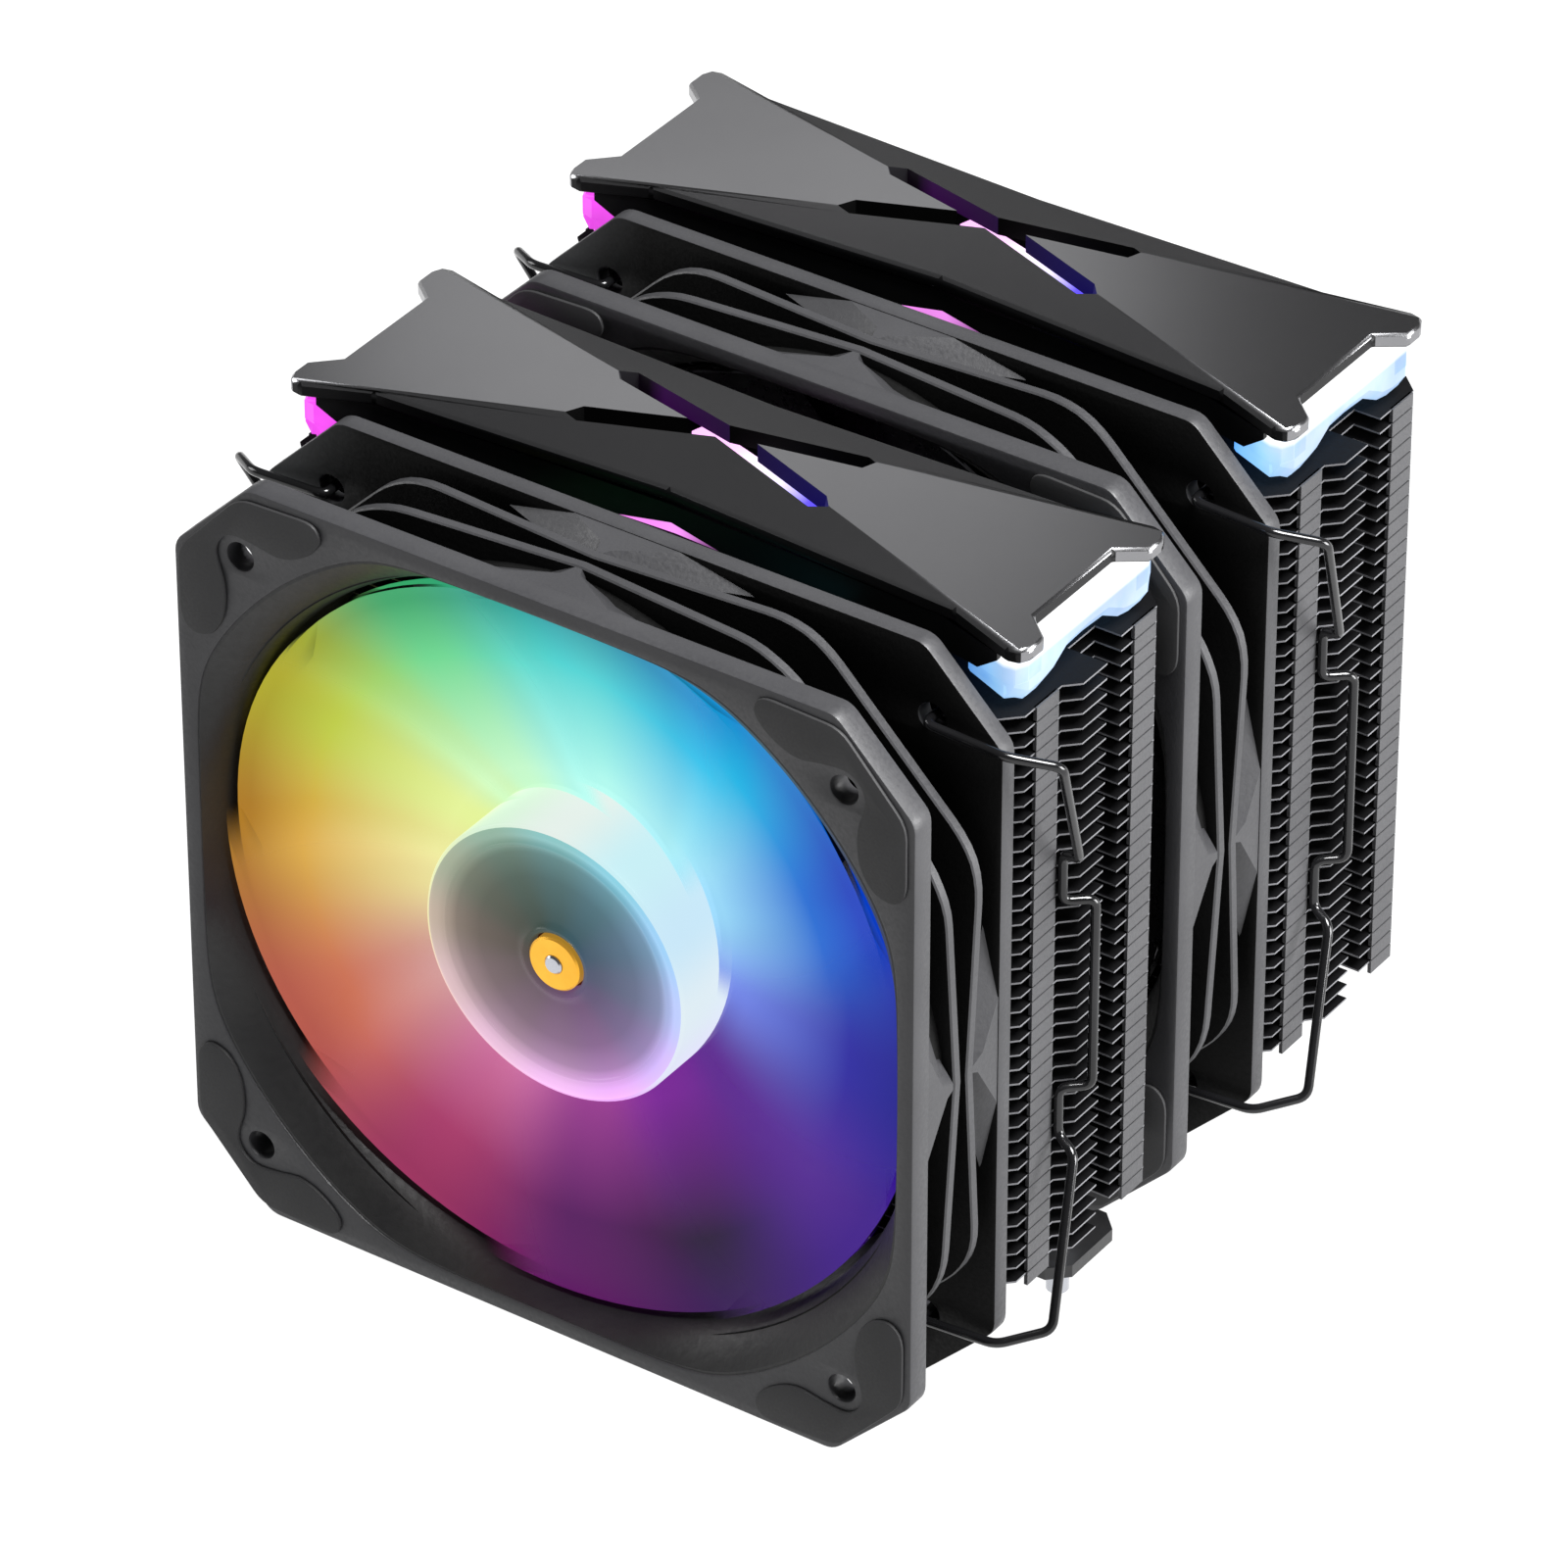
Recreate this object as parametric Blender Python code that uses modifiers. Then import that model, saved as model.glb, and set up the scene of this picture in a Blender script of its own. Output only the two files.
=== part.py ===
"""Twin-tower processor cooler with two 25 mm fans, wire fan clips and lit top covers.

Metres, +Z up.  The origin is the centre of the cold plate's contact face, +X runs along the width of
the fans and +Y is the way the air flows.  Each fan and each tower is built once about its own centre
and placed as often as it is used.
"""

import math

import bmesh
import bpy
from mathutils import Matrix, Vector

# ---- Fan ---------------------------------------------------------------------------------------
FAN_SIZE = 0.129            # outside of the square frame
FAN_DEPTH = 0.0252          # front face to rear face
FAN_CORNER_CUT = 0.0135     # leg of the cut corner
HOLE_INSET = 0.0120         # corner hole in from each side
HOLE_RADIUS = 0.0023
FRONT_FLANGE = 0.0043
REAR_FLANGE = 0.0032
DUCT_WALL = 0.0014
DUCT_FLARE = 0.0009         # how much wider the duct is where it meets the mouth
DUCT_FLARE_OUTSIDE = 0.0007
DUCT_SIDE_CLEAR = 0.0020    # between the duct's outside and the frame's side plane
MOUTH_GROWTH = 0.0064       # how much wider than the duct the intake mouth is
MOUTH_RIM = 0.0028          # the least rim that the mouth leaves along each side
GUSSET_HALF = 0.017
GUSSET_SHY = 0.0002         # a gusset stands back from the frame's side plane
GUSSET_WAIST = 0.0018       # half the gap between the tips of a side's two gussets
HUB_RADIUS = 0.023
HUB_FRONT = 0.0029          # hub face below the front face of the frame
HUB_WALL = 0.0016
BLADES = 9
BLADE_THICK = 0.0014
TIP_CLEAR = 0.0010
STRUT_WIDTH = 0.0060
SHAFT_RADIUS = 0.0015
BUSHING_RADIUS = 0.00445
RUNNING_GAP = 0.0005        # between anything that spins and what stands still
FIT_GAP = 0.0003            # between pieces that sit on or in each other
PAD_THICK = 0.0007
PAD_INSET = 0.0016
PAD_LENGTH = 0.0215

# ---- Towers ------------------------------------------------------------------------------------
FIN_DEPTH = 0.040
FIN_HALF_WIDTH = 0.0635
FIN_BUMP = 0.0022           # the middle of a fin's side stands this much proud
FIN_THICK = 0.0008
FINS = 22
TAB_WIDTH = 0.0057          # of the strips that the fins' folded tabs make
TAB_THICK = 0.0008
TAB_PROUD = 0.0003
TAB_BELOW = 0.0012
FRONT_TAB_SETBACK = 0.0084  # from the fins' front edge to the middle of the front strip
REAR_TAB_SETBACK = 0.0062   # from the fins' rear edge to the middle of the rear strip
GRIP_POCKET = 0.00115       # behind the front strip, where a wire clip rests
SIDE_NOTCH_DEPTH = 0.0045
SIDE_NOTCH_WIDTH = 0.0071
SIDE_NOTCH_TO_TAB = 0.00305
STACK_BOTTOM = 0.046
STACK_HEIGHT = 0.100
FAN_REAR_GAP = 0.0010       # between a fan and the tower that it is clipped to
FAN_FRONT_GAP = 0.0038      # between the front tower and the middle fan
TOWER_PITCH = FIN_DEPTH + FAN_DEPTH + FAN_REAR_GAP + FAN_FRONT_GAP

# ---- Heat pipes and base -----------------------------------------------------------------------
PIPE_RADIUS = 0.0030
PIPES = 6
BASE_PIPE_SPACE = 0.0009    # between neighbouring pipes in the base
OUTER_PIPE_INSET = 0.014    # from the floor of a side notch to the outer pipe's middle
PIPE_STAGGER = 0.0050       # alternate legs stand this far before and behind a tower's middle
PIPE_PROUD = 0.0025         # leg above the top fin
PLATE_FLOOR = 0.0021        # cold plate under the pipes
PLATE_EDGE = 0.00045        # cold plate beside the outer pipes
PLATE_DEPTH = 0.042
CAP_ROOF = 0.0008           # base cap over the pipes
BAR_THICK = 0.0022
BAR_WIDTH = 0.0172
BAR_END = 0.0062            # bar beyond a screw's axis
SCREW_X = 0.0375
SCREW_RADIUS = 0.0018
SCREW_HEAD_RADIUS = 0.0038
SCREW_HEAD = 0.0042
SCREW_TIP_Z = 0.0012
SPRING_RADIUS = 0.0030
SPRING_WIRE = 0.00045
SPRING_LENGTH = 0.0085
SPRING_TURNS = 4
WASHER_THICK = 0.0009
FAN_OVER_SCREWS = 0.0020    # between the spring screws' heads and the middle fan

# ---- Covers ------------------------------------------------------------------------------------
COVER_RISE = 0.0043         # the middle of the cover above its ends
COVER_THICK = 0.0030
COVER_OVERHANG = 0.0009
COVER_INSET = 0.0008        # cover's widest depth within the fins' depth, at each side
GUIDE_THICK = 0.0043
GUIDE_HORN = 0.0030
GUIDE_INSET = 0.0014
NOTCH_DEPTH = 0.0041
SLIT_HALF_LENGTH = 0.0234
SLIT_WIDTH = 0.0035
SLIT_TAPER = 0.0020         # length of a slit's pointed end
LED_BOARD_THICK = 0.0012

# ---- Wire clips --------------------------------------------------------------------------------
CLIP_RADIUS = 0.00075
CLIP_REACH = 0.0080         # how far the arm's corner stands outside the frame's side
CLIP_HOOK_END = 0.0008      # the hook's end within the flange's rear face
CLIP_GRIP_TOP = 0.026
CLIP_HANDLE_HALF = 0.0165
CLIP_HANDLE_OUT = 0.0036

HALF_FAN = FAN_SIZE / 2
HOLE_OUT = HALF_FAN - HOLE_INSET
DUCT_RADIUS = HALF_FAN - DUCT_SIDE_CLEAR - DUCT_WALL

PIPE_AXIS_Z = PLATE_FLOOR + PIPE_RADIUS + FIT_GAP
PLATE_TOP = PIPE_AXIS_Z - 0.0002
CAP_TOP = PIPE_AXIS_Z + PIPE_RADIUS + FIT_GAP + CAP_ROOF
BASE_PIPE_PITCH = 2 * PIPE_RADIUS + BASE_PIPE_SPACE
PLATE_WIDTH = (PIPES - 1) * BASE_PIPE_PITCH + 2 * (PIPE_RADIUS + FIT_GAP + PLATE_EDGE)
TOWER_PIPE_PITCH = 2 * (FIN_HALF_WIDTH - SIDE_NOTCH_DEPTH - OUTER_PIPE_INSET) / (PIPES - 1)
BAR_BOTTOM = CAP_TOP + FIT_GAP
BAR_TOP = BAR_BOTTOM + BAR_THICK
SPRING_BOTTOM = BAR_TOP + FIT_GAP
WASHER_BOTTOM = SPRING_BOTTOM + SPRING_LENGTH + FIT_GAP
SCREW_HEAD_BOTTOM = WASHER_BOTTOM + WASHER_THICK + FIT_GAP
SCREW_TOP = SCREW_HEAD_BOTTOM + SCREW_HEAD

FAN_AXIS_Z = SCREW_TOP + FAN_OVER_SCREWS + HALF_FAN
FAN_FRONT_Y = {
    "front_fan": -TOWER_PITCH / 2 - FIN_DEPTH / 2 - FAN_REAR_GAP - FAN_DEPTH,
    "middle_fan": TOWER_PITCH / 2 - FIN_DEPTH / 2 - FAN_REAR_GAP - FAN_DEPTH,
}
TOWER_Y = {"front": -TOWER_PITCH / 2, "rear": TOWER_PITCH / 2}
FRONT_TAB_Y = -FIN_DEPTH / 2 + FRONT_TAB_SETBACK
REAR_TAB_Y = FIN_DEPTH / 2 - REAR_TAB_SETBACK
FRONT_TAB_END = FRONT_TAB_Y + TAB_WIDTH / 2
STACK_TOP = STACK_BOTTOM + STACK_HEIGHT
GUIDE_BOTTOM = STACK_TOP + 0.0012
GUIDE_TOP = GUIDE_BOTTOM + GUIDE_HORN + GUIDE_THICK
COVER_END_TOP = GUIDE_TOP + FIT_GAP + COVER_THICK

for old in list(bpy.data.objects):
    bpy.data.objects.remove(old, do_unlink=True)
PARTS = bpy.data.collections.new("twin_tower_cooler")
CUTTERS = bpy.data.collections.new("cutters")
CUTTERS.hide_render = True
bpy.context.scene.collection.children.link(PARTS)
bpy.context.scene.collection.children.link(CUTTERS)


def finish(name, colour, roughness, metallic=0.0):
    """A plain material."""
    material = bpy.data.materials.new(name)
    material.use_nodes = True
    shader = material.node_tree.nodes["Principled BSDF"]
    shader.inputs["Base Color"].default_value = (*colour, 1.0)
    shader.inputs["Roughness"].default_value = roughness
    shader.inputs["Metallic"].default_value = metallic
    return material


FRAME_PLASTIC = finish("black_frame_plastic", (0.035, 0.035, 0.038), 0.45)
PAD_RUBBER = finish("pad_rubber", (0.028, 0.029, 0.031), 0.8)
FIN_COATING = finish("black_fin_coating", (0.012, 0.012, 0.013), 0.35, 0.6)
PIPE_COATING = finish("black_pipe_plating", (0.02, 0.02, 0.022), 0.25, 0.9)
COVER_METAL = finish("cover_anodised", (0.05, 0.05, 0.055), 0.38, 0.7)
CLEAR_GUIDE = finish("light_guide_acrylic", (0.72, 0.82, 0.95), 0.25)
BLADE_PLASTIC = finish("frosted_blades", (0.80, 0.82, 0.85), 0.3)
BRASS = finish("brass", (0.78, 0.55, 0.20), 0.3, 1.0)
STEEL = finish("bright_steel", (0.75, 0.76, 0.78), 0.2, 1.0)
BLACK_WIRE = finish("black_spring_wire", (0.02, 0.02, 0.02), 0.2, 0.8)
NICKEL = finish("nickel_plate", (0.66, 0.65, 0.62), 0.15, 1.0)
BOARD = finish("circuit_board", (0.02, 0.05, 0.03), 0.5)
COPPER = finish("copper_winding", (0.72, 0.38, 0.20), 0.35, 1.0)
MAGNET = finish("magnet_ferrite", (0.06, 0.055, 0.05), 0.6)


# ---- General tools -----------------------------------------------------------------------------
def add_object(name, mesh, material=None, place=None, cutter=False):
    obj = bpy.data.objects.new(name, mesh)
    (CUTTERS if cutter else PARTS).objects.link(obj)
    if place is not None:
        obj.matrix_world = place
    if material and not mesh.materials:
        mesh.materials.append(material)
    if cutter:
        obj.hide_render = True
        obj.display_type = "WIRE"
    return obj


def evaluated_mesh(obj, weld=0.00001):
    """The object's mesh as it shows, in world space, with its doubles merged."""
    bpy.context.view_layer.update()
    graph = bpy.context.evaluated_depsgraph_get()
    mesh = bpy.data.meshes.new_from_object(obj.evaluated_get(graph))
    mesh.transform(obj.matrix_world)
    work = bmesh.new()
    work.from_mesh(mesh)
    bmesh.ops.remove_doubles(work, verts=work.verts, dist=weld)
    bmesh.ops.recalc_face_normals(work, faces=work.faces)
    work.to_mesh(mesh)
    work.free()
    return mesh


def baked(obj):
    """Replaces an object by its evaluated mesh and returns that mesh."""
    mesh = evaluated_mesh(obj)
    bpy.data.objects.remove(obj, do_unlink=True)
    return mesh


def plate(outlines, low, high, upright=False):
    """A flat plate from closed outlines, low to high along +Z, or along +Y when it stands upright."""
    curve = bpy.data.curves.new("outline", "CURVE")
    curve.dimensions = "2D"
    curve.fill_mode = "BOTH"
    curve.extrude = (high - low) / 2
    for outline in outlines:
        spline = curve.splines.new("POLY")
        spline.points.add(len(outline) - 1)
        for point, (a, b) in zip(spline.points, outline):
            point.co = (a, b, 0.0, 1.0)
        spline.use_cyclic_u = True
    obj = bpy.data.objects.new("outline", curve)
    bpy.context.scene.collection.objects.link(obj)
    middle = (low + high) / 2
    if upright:
        # The outline's second coordinate becomes Z, and its thickness lies along Y.
        obj.matrix_world = Matrix.Translation((0, middle, 0)) @ Matrix.Rotation(math.pi / 2, 4, "X")
    else:
        obj.matrix_world = Matrix.Translation((0, 0, middle))
    return baked(obj)


def turned(profile, steps, upright=True):
    """A body of revolution.  The profile holds (radius, height) pairs of one outline, closed, or open where
    both its ends are on the axis.  The axis is Z, or Y when it stands upright, with height running along it."""
    mesh = bpy.data.meshes.new("profile")
    work = bmesh.new()
    points = [work.verts.new((radius, 0.0, height)) for radius, height in profile]
    for a, b in zip(points, points[1:] + points[:1]):
        if a.co.x > 0 or b.co.x > 0:
            work.edges.new((a, b))
    work.to_mesh(mesh)
    work.free()
    obj = bpy.data.objects.new("profile", mesh)
    bpy.context.scene.collection.objects.link(obj)
    screw = obj.modifiers.new("turn", "SCREW")
    screw.axis = "Z"
    screw.steps = screw.render_steps = steps
    screw.use_merge_vertices = True
    screw.merge_threshold = 0.00001
    if upright:
        obj.matrix_world = Matrix.Rotation(-math.pi / 2, 4, "X")
    return baked(obj)


def tube(points, radius, sides=2):
    """A round wire or pipe through the points, closed at both ends."""
    curve = bpy.data.curves.new("path", "CURVE")
    curve.dimensions = "3D"
    curve.bevel_depth = radius
    curve.bevel_resolution = sides
    curve.use_fill_caps = True
    spline = curve.splines.new("POLY")
    spline.points.add(len(points) - 1)
    for point, at in zip(spline.points, points):
        point.co = (*at, 1.0)
    obj = bpy.data.objects.new("path", curve)
    bpy.context.scene.collection.objects.link(obj)
    return baked(obj)


def joined(meshes, operation="UNION", solver="EXACT"):
    """The first mesh with each of the others joined to it, or cut from it."""
    body = bpy.data.objects.new("body", meshes[0])
    bpy.context.scene.collection.objects.link(body)
    others = []
    for mesh in meshes[1:]:
        other = bpy.data.objects.new("other", mesh)
        bpy.context.scene.collection.objects.link(other)
        boolean = body.modifiers.new("boolean", "BOOLEAN")
        boolean.operation = operation
        boolean.solver = solver
        boolean.object = other
        others.append(other)
    mesh = baked(body)
    for other in others:
        bpy.data.objects.remove(other, do_unlink=True)
    return mesh


def moved(mesh, matrix):
    copy = mesh.copy()
    copy.transform(matrix)
    if matrix.determinant() < 0:
        copy.flip_normals()
    return copy


def circle(radius, steps, centre=(0.0, 0.0), phase=0.5):
    """Corners of a regular polygon, which stands for a round outline."""
    return [
        (
            centre[0] + radius * math.cos(2 * math.pi * (k + phase) / steps),
            centre[1] + radius * math.sin(2 * math.pi * (k + phase) / steps),
        )
        for k in range(steps)
    ]


def octagon(half, cut):
    """A square of half-width half with its corners cut by legs of cut, anticlockwise."""
    inner = half - cut
    return [
        (half, -inner), (half, inner), (inner, half), (-inner, half),
        (-half, inner), (-half, -inner), (-inner, -half), (inner, -half),
    ]


def mirrored_outline(right):
    """A closed outline from its right half, which runs from front to back."""
    return right + [(-x, y) for x, y in reversed(right)]


def smooth_path(corners, radius, steps=3):
    """The corners of a bent wire, each rounded by a short arc of about the given radius."""
    points = [Vector(corners[0])]
    for before, corner, after in zip(corners, corners[1:], corners[2:]):
        corner = Vector(corner)
        back = Vector(before) - corner
        ahead = Vector(after) - corner
        reach = min(radius, 0.45 * back.length, 0.45 * ahead.length)
        start = corner + back.normalized() * reach
        end = corner + ahead.normalized() * reach
        for k in range(steps + 1):
            t = k / steps
            points.append(start * (1 - t) ** 2 + corner * (2 * t * (1 - t)) + end * t**2)
    points.append(Vector(corners[-1]))
    return points


# ---- Fan ---------------------------------------------------------------------------------------
def mouth_outline():
    """The intake mouth: a circle that the frame's straight sides clip."""
    limit = HALF_FAN - MOUTH_RIM
    radius = DUCT_RADIUS + MOUTH_GROWTH
    return [
        (max(-limit, min(limit, x)), max(-limit, min(limit, y)))
        for x, y in circle(radius, 28)
    ]


def gussets():
    """The triangles that widen both flanges towards the middle of each side."""
    low = HALF_FAN - DUCT_SIDE_CLEAR - DUCT_WALL / 2
    high = HALF_FAN - GUSSET_SHY
    reach = FAN_DEPTH / 2 - GUSSET_WAIST
    front = [(-GUSSET_HALF, FRONT_FLANGE / 2), (GUSSET_HALF, FRONT_FLANGE / 2), (0.0, reach)]
    rear = [(x, FAN_DEPTH - y) for x, y in front]
    pieces = []
    for outline in (front, rear[::-1]):
        prism = plate([outline], low, high)
        pieces += [moved(prism, Matrix.Rotation(k * math.pi / 2, 4, "Y")) for k in range(4)]
    return pieces


def fan_frame():
    steps = 28
    outer = octagon(HALF_FAN, FAN_CORNER_CUT)
    holes = [
        circle(HOLE_RADIUS, 8, (sx * HOLE_OUT, sy * HOLE_OUT))
        for sx in (-1, 1)
        for sy in (-1, 1)
    ]
    front = plate([outer, mouth_outline(), *holes], 0, FRONT_FLANGE, upright=True)
    rear_bore = circle(DUCT_RADIUS, steps)
    rear = plate([outer, rear_bore, *holes], FAN_DEPTH - REAR_FLANGE, FAN_DEPTH, upright=True)
    outside = DUCT_RADIUS + DUCT_WALL
    front_edge = FRONT_FLANGE * 0.5
    duct = turned(
        [
            (outside, FAN_DEPTH - REAR_FLANGE / 2),
            (DUCT_RADIUS, FAN_DEPTH - REAR_FLANGE / 2),
            (DUCT_RADIUS, FRONT_FLANGE * 2),
            (DUCT_RADIUS + DUCT_FLARE, front_edge),
            (outside + DUCT_FLARE_OUTSIDE, front_edge),
            (outside, FRONT_FLANGE * 2),
        ],
        steps,
    )
    strut = plate(
        [[
            (HUB_RADIUS - 0.004, -STRUT_WIDTH / 2), (DUCT_RADIUS + DUCT_WALL / 2, -STRUT_WIDTH / 2),
            (DUCT_RADIUS + DUCT_WALL / 2, STRUT_WIDTH / 2), (HUB_RADIUS - 0.004, STRUT_WIDTH / 2),
        ]],
        FAN_DEPTH - REAR_FLANGE + 0.0002, FAN_DEPTH - 0.0004, upright=True,
    )
    struts = [moved(strut, Matrix.Rotation(math.radians(62 + 90 * k), 4, "Y")) for k in range(4)]
    bearing_hole = SHAFT_RADIUS + 0.0030
    seat = plate(
        [circle(HUB_RADIUS - 0.001, 24), circle(bearing_hole, 12)],
        FAN_DEPTH - REAR_FLANGE, FAN_DEPTH - 0.0002, upright=True,
    )
    return joined([front, rear, duct, *gussets(), *struts, seat], solver="MANIFOLD")


def blade(index):
    """One blade: a swept, cambered sheet from the hub to just inside the duct, given its thickness."""
    across, along = 3, 4
    root = HUB_RADIUS - HUB_WALL * 0.6
    tip = DUCT_RADIUS - TIP_CLEAR
    mesh = bpy.data.meshes.new("blade")
    work = bmesh.new()
    bmesh.ops.create_grid(work, x_segments=across, y_segments=along, size=1.0)
    for vertex in work.verts:
        u, t = vertex.co.x, (vertex.co.y + 1) / 2
        radius = root + (tip - root) * t
        half_angle = math.radians(17.0 + 2.0 * t)
        sweep = math.radians(16) * t**1.5
        angle = 2 * math.pi * index / BLADES + sweep + u * half_angle
        depth = FAN_DEPTH * 0.5 + u * (0.0062 - 0.0010 * t) + 0.0008 * (1 - u * u)
        vertex.co = (radius * math.cos(angle), depth - 0.0008, radius * math.sin(angle))
    work.to_mesh(mesh)
    work.free()
    obj = bpy.data.objects.new("blade", mesh)
    bpy.context.scene.collection.objects.link(obj)
    solid = obj.modifiers.new("thickness", "SOLIDIFY")
    solid.thickness = BLADE_THICK
    solid.offset = 0.0
    return baked(obj)


def impeller():
    back = FAN_DEPTH - REAR_FLANGE - RUNNING_GAP
    inside = HUB_RADIUS - HUB_WALL
    hub = turned(
        [
            (BUSHING_RADIUS + FIT_GAP, HUB_FRONT + 0.0004), (HUB_RADIUS - 0.0035, HUB_FRONT + 0.0006),
            (HUB_RADIUS - 0.0028, HUB_FRONT), (HUB_RADIUS - 0.0008, HUB_FRONT), (HUB_RADIUS, HUB_FRONT + 0.0008),
            (HUB_RADIUS, back), (inside, back), (inside, HUB_FRONT + 0.0024),
            (BUSHING_RADIUS + FIT_GAP, HUB_FRONT + 0.0024),
        ],
        24,
    )
    return joined([hub, *[blade(k) for k in range(BLADES)]])


def pad_outline():
    """A corner pad in the corner of +X and +Y: a bent strip that follows the cut corner and passes outside
    the corner hole, with round ends."""
    edge = HALF_FAN - PAD_INSET
    cut = FAN_CORNER_CUT - 0.6 * PAD_INSET
    end = edge - PAD_LENGTH - 0.0075
    hole = HOLE_OUT
    lower = [
        (edge, end + 0.0045), (edge, edge - cut), (edge - cut, edge), (end + 0.0045, edge),
    ]
    upper_side = [
        (end, edge - 0.0040), (end + 0.0020, edge - 0.0090), (end + 0.0070, edge - 0.0092),
        (hole - 0.0030, hole + 0.0042),
    ]
    return lower + upper_side + [(y, x) for x, y in reversed(upper_side)]


def fan_internals():
    """Meshes of what the hub holds, by name, each with its material."""
    back = FAN_DEPTH - REAR_FLANGE - RUNNING_GAP
    cup = HUB_FRONT + 0.0024
    inside = HUB_RADIUS - HUB_WALL
    magnet_inner = inside - 0.0022
    sleeve_outer = SHAFT_RADIUS + 0.0027
    stator_radius = magnet_inner - 0.0008
    poles = []
    for k in range(4):
        for offset, radius in ((-32, stator_radius), (0, stator_radius), (32, stator_radius), (45, 0.0085)):
            angle = math.radians(90 * k + offset)
            poles.append((radius * math.cos(angle), radius * math.sin(angle)))
    magnet = turned(
        [
            (inside - FIT_GAP, cup + 0.0008), (inside - FIT_GAP, back - 0.0010),
            (magnet_inner, back - 0.0010), (magnet_inner, cup + 0.0008),
        ],
        18,
    )
    sleeve = turned(
        [
            (sleeve_outer, cup + RUNNING_GAP), (sleeve_outer, FAN_DEPTH - 0.0004),
            (SHAFT_RADIUS + 0.0003, FAN_DEPTH - 0.0004), (SHAFT_RADIUS + 0.0003, cup + RUNNING_GAP),
        ],
        12,
    )
    bushing = turned(
        [
            (BUSHING_RADIUS, HUB_FRONT + 0.0002), (BUSHING_RADIUS, cup - 0.0002),
            (SHAFT_RADIUS + FIT_GAP, cup - 0.0002), (SHAFT_RADIUS + FIT_GAP, HUB_FRONT + 0.0002),
        ],
        16,
    )
    shaft = turned(
        [
            (0.0, HUB_FRONT - 0.0003), (SHAFT_RADIUS, HUB_FRONT - 0.0003),
            (SHAFT_RADIUS, FAN_DEPTH - 0.0016), (0.0, FAN_DEPTH - 0.0016),
        ],
        12,
    )
    stator_hole = circle(sleeve_outer + FIT_GAP, 12)
    stator = plate([poles, stator_hole], cup + 0.0020, back - 0.0034, upright=True)
    board = plate(
        [circle(stator_radius - 0.0004, 16), stator_hole], back - 0.0024, back - 0.0012, upright=True
    )
    return {
        "impeller": (impeller(), BLADE_PLASTIC),
        "magnet_ring": (magnet, MAGNET),
        "hub_bushing": (bushing, BRASS),
        "rotor_shaft": (shaft, STEEL),
        "bearing_sleeve": (sleeve, BRASS),
        "stator": (stator, COPPER),
        "circuit_board": (board, BOARD),
    }


def place_fans():
    pieces = {"frame": (fan_frame(), FRAME_PLASTIC), **fan_internals()}
    front_pad = plate([pad_outline()], -PAD_THICK, -FIT_GAP * 0.1, upright=True)
    rear_low = FAN_DEPTH + FIT_GAP * 0.1
    rear_pad = plate([pad_outline()], rear_low, rear_low + PAD_THICK * 0.8, upright=True)
    turns = {"upper_right": 0, "lower_right": 1, "lower_left": 2, "upper_left": 3}
    for fan, y in FAN_FRONT_Y.items():
        place = Matrix.Translation((0, y, FAN_AXIS_Z))
        for name, (mesh, material) in pieces.items():
            add_object(f"{fan}_{name}", mesh, material, place)
        for corner, turn in turns.items():
            turned_place = place @ Matrix.Rotation(turn * math.pi / 2, 4, "Y")
            add_object(f"{fan}_front_pad_{corner}", front_pad, PAD_RUBBER, turned_place)
            add_object(f"{fan}_rear_pad_{corner}", rear_pad, PAD_RUBBER, turned_place)


# ---- Wire clips --------------------------------------------------------------------------------
def clip_path(side):
    """The clip's bends, from the upper corner hole, round the fan's side, along the fins and back to the lower
    corner hole, about the fan's axis and front face."""
    hole = HOLE_OUT
    flange_front = FAN_DEPTH - REAR_FLANGE
    arm_y = flange_front - CLIP_RADIUS - 0.0010
    fin_front = FAN_DEPTH + FAN_REAR_GAP
    grip_x = FIN_HALF_WIDTH + CLIP_RADIUS + FIT_GAP
    grip_y = fin_front + FIN_DEPTH / 2 + FRONT_TAB_END + 0.55 * GRIP_POCKET
    out_x = HALF_FAN + CLIP_REACH
    upper = [
        (hole, FAN_DEPTH - CLIP_HOOK_END, hole),
        (hole, arm_y, hole),
        (HALF_FAN + 0.0012, arm_y + 0.0003, hole - 0.0008),
        (out_x, flange_front + 0.0036, hole - 0.0030),
        (grip_x + 0.0037, grip_y - 0.0014, CLIP_GRIP_TOP),
        (grip_x, grip_y, CLIP_GRIP_TOP - 0.0012),
        (grip_x, grip_y, CLIP_HANDLE_HALF),
        (grip_x + CLIP_HANDLE_OUT, grip_y + CLIP_HANDLE_OUT * 0.92, CLIP_HANDLE_HALF),
    ]
    lower = [(x, y, -z) for x, y, z in reversed(upper)]
    return [(side * x, y, z) for x, y, z in upper + lower]


def place_clips():
    for side_name, side in (("right", 1), ("left", -1)):
        mesh = tube(smooth_path(clip_path(side), 0.0016, 1), CLIP_RADIUS, 1)
        for fan, y in FAN_FRONT_Y.items():
            add_object(f"{fan}_clip_{side_name}", mesh, BLACK_WIRE, Matrix.Translation((0, y, FAN_AXIS_Z)))


# ---- Heat pipes --------------------------------------------------------------------------------
def pipe_rank(index):
    """A pipe's place from the middle, in pitches."""
    return index - (PIPES - 1) / 2


def pipe_leg(index):
    """Where a pipe's leg stands in a tower, from the tower's middle."""
    stagger = PIPE_STAGGER if index % 2 else -PIPE_STAGGER
    return pipe_rank(index) * TOWER_PIPE_PITCH, stagger


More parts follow.
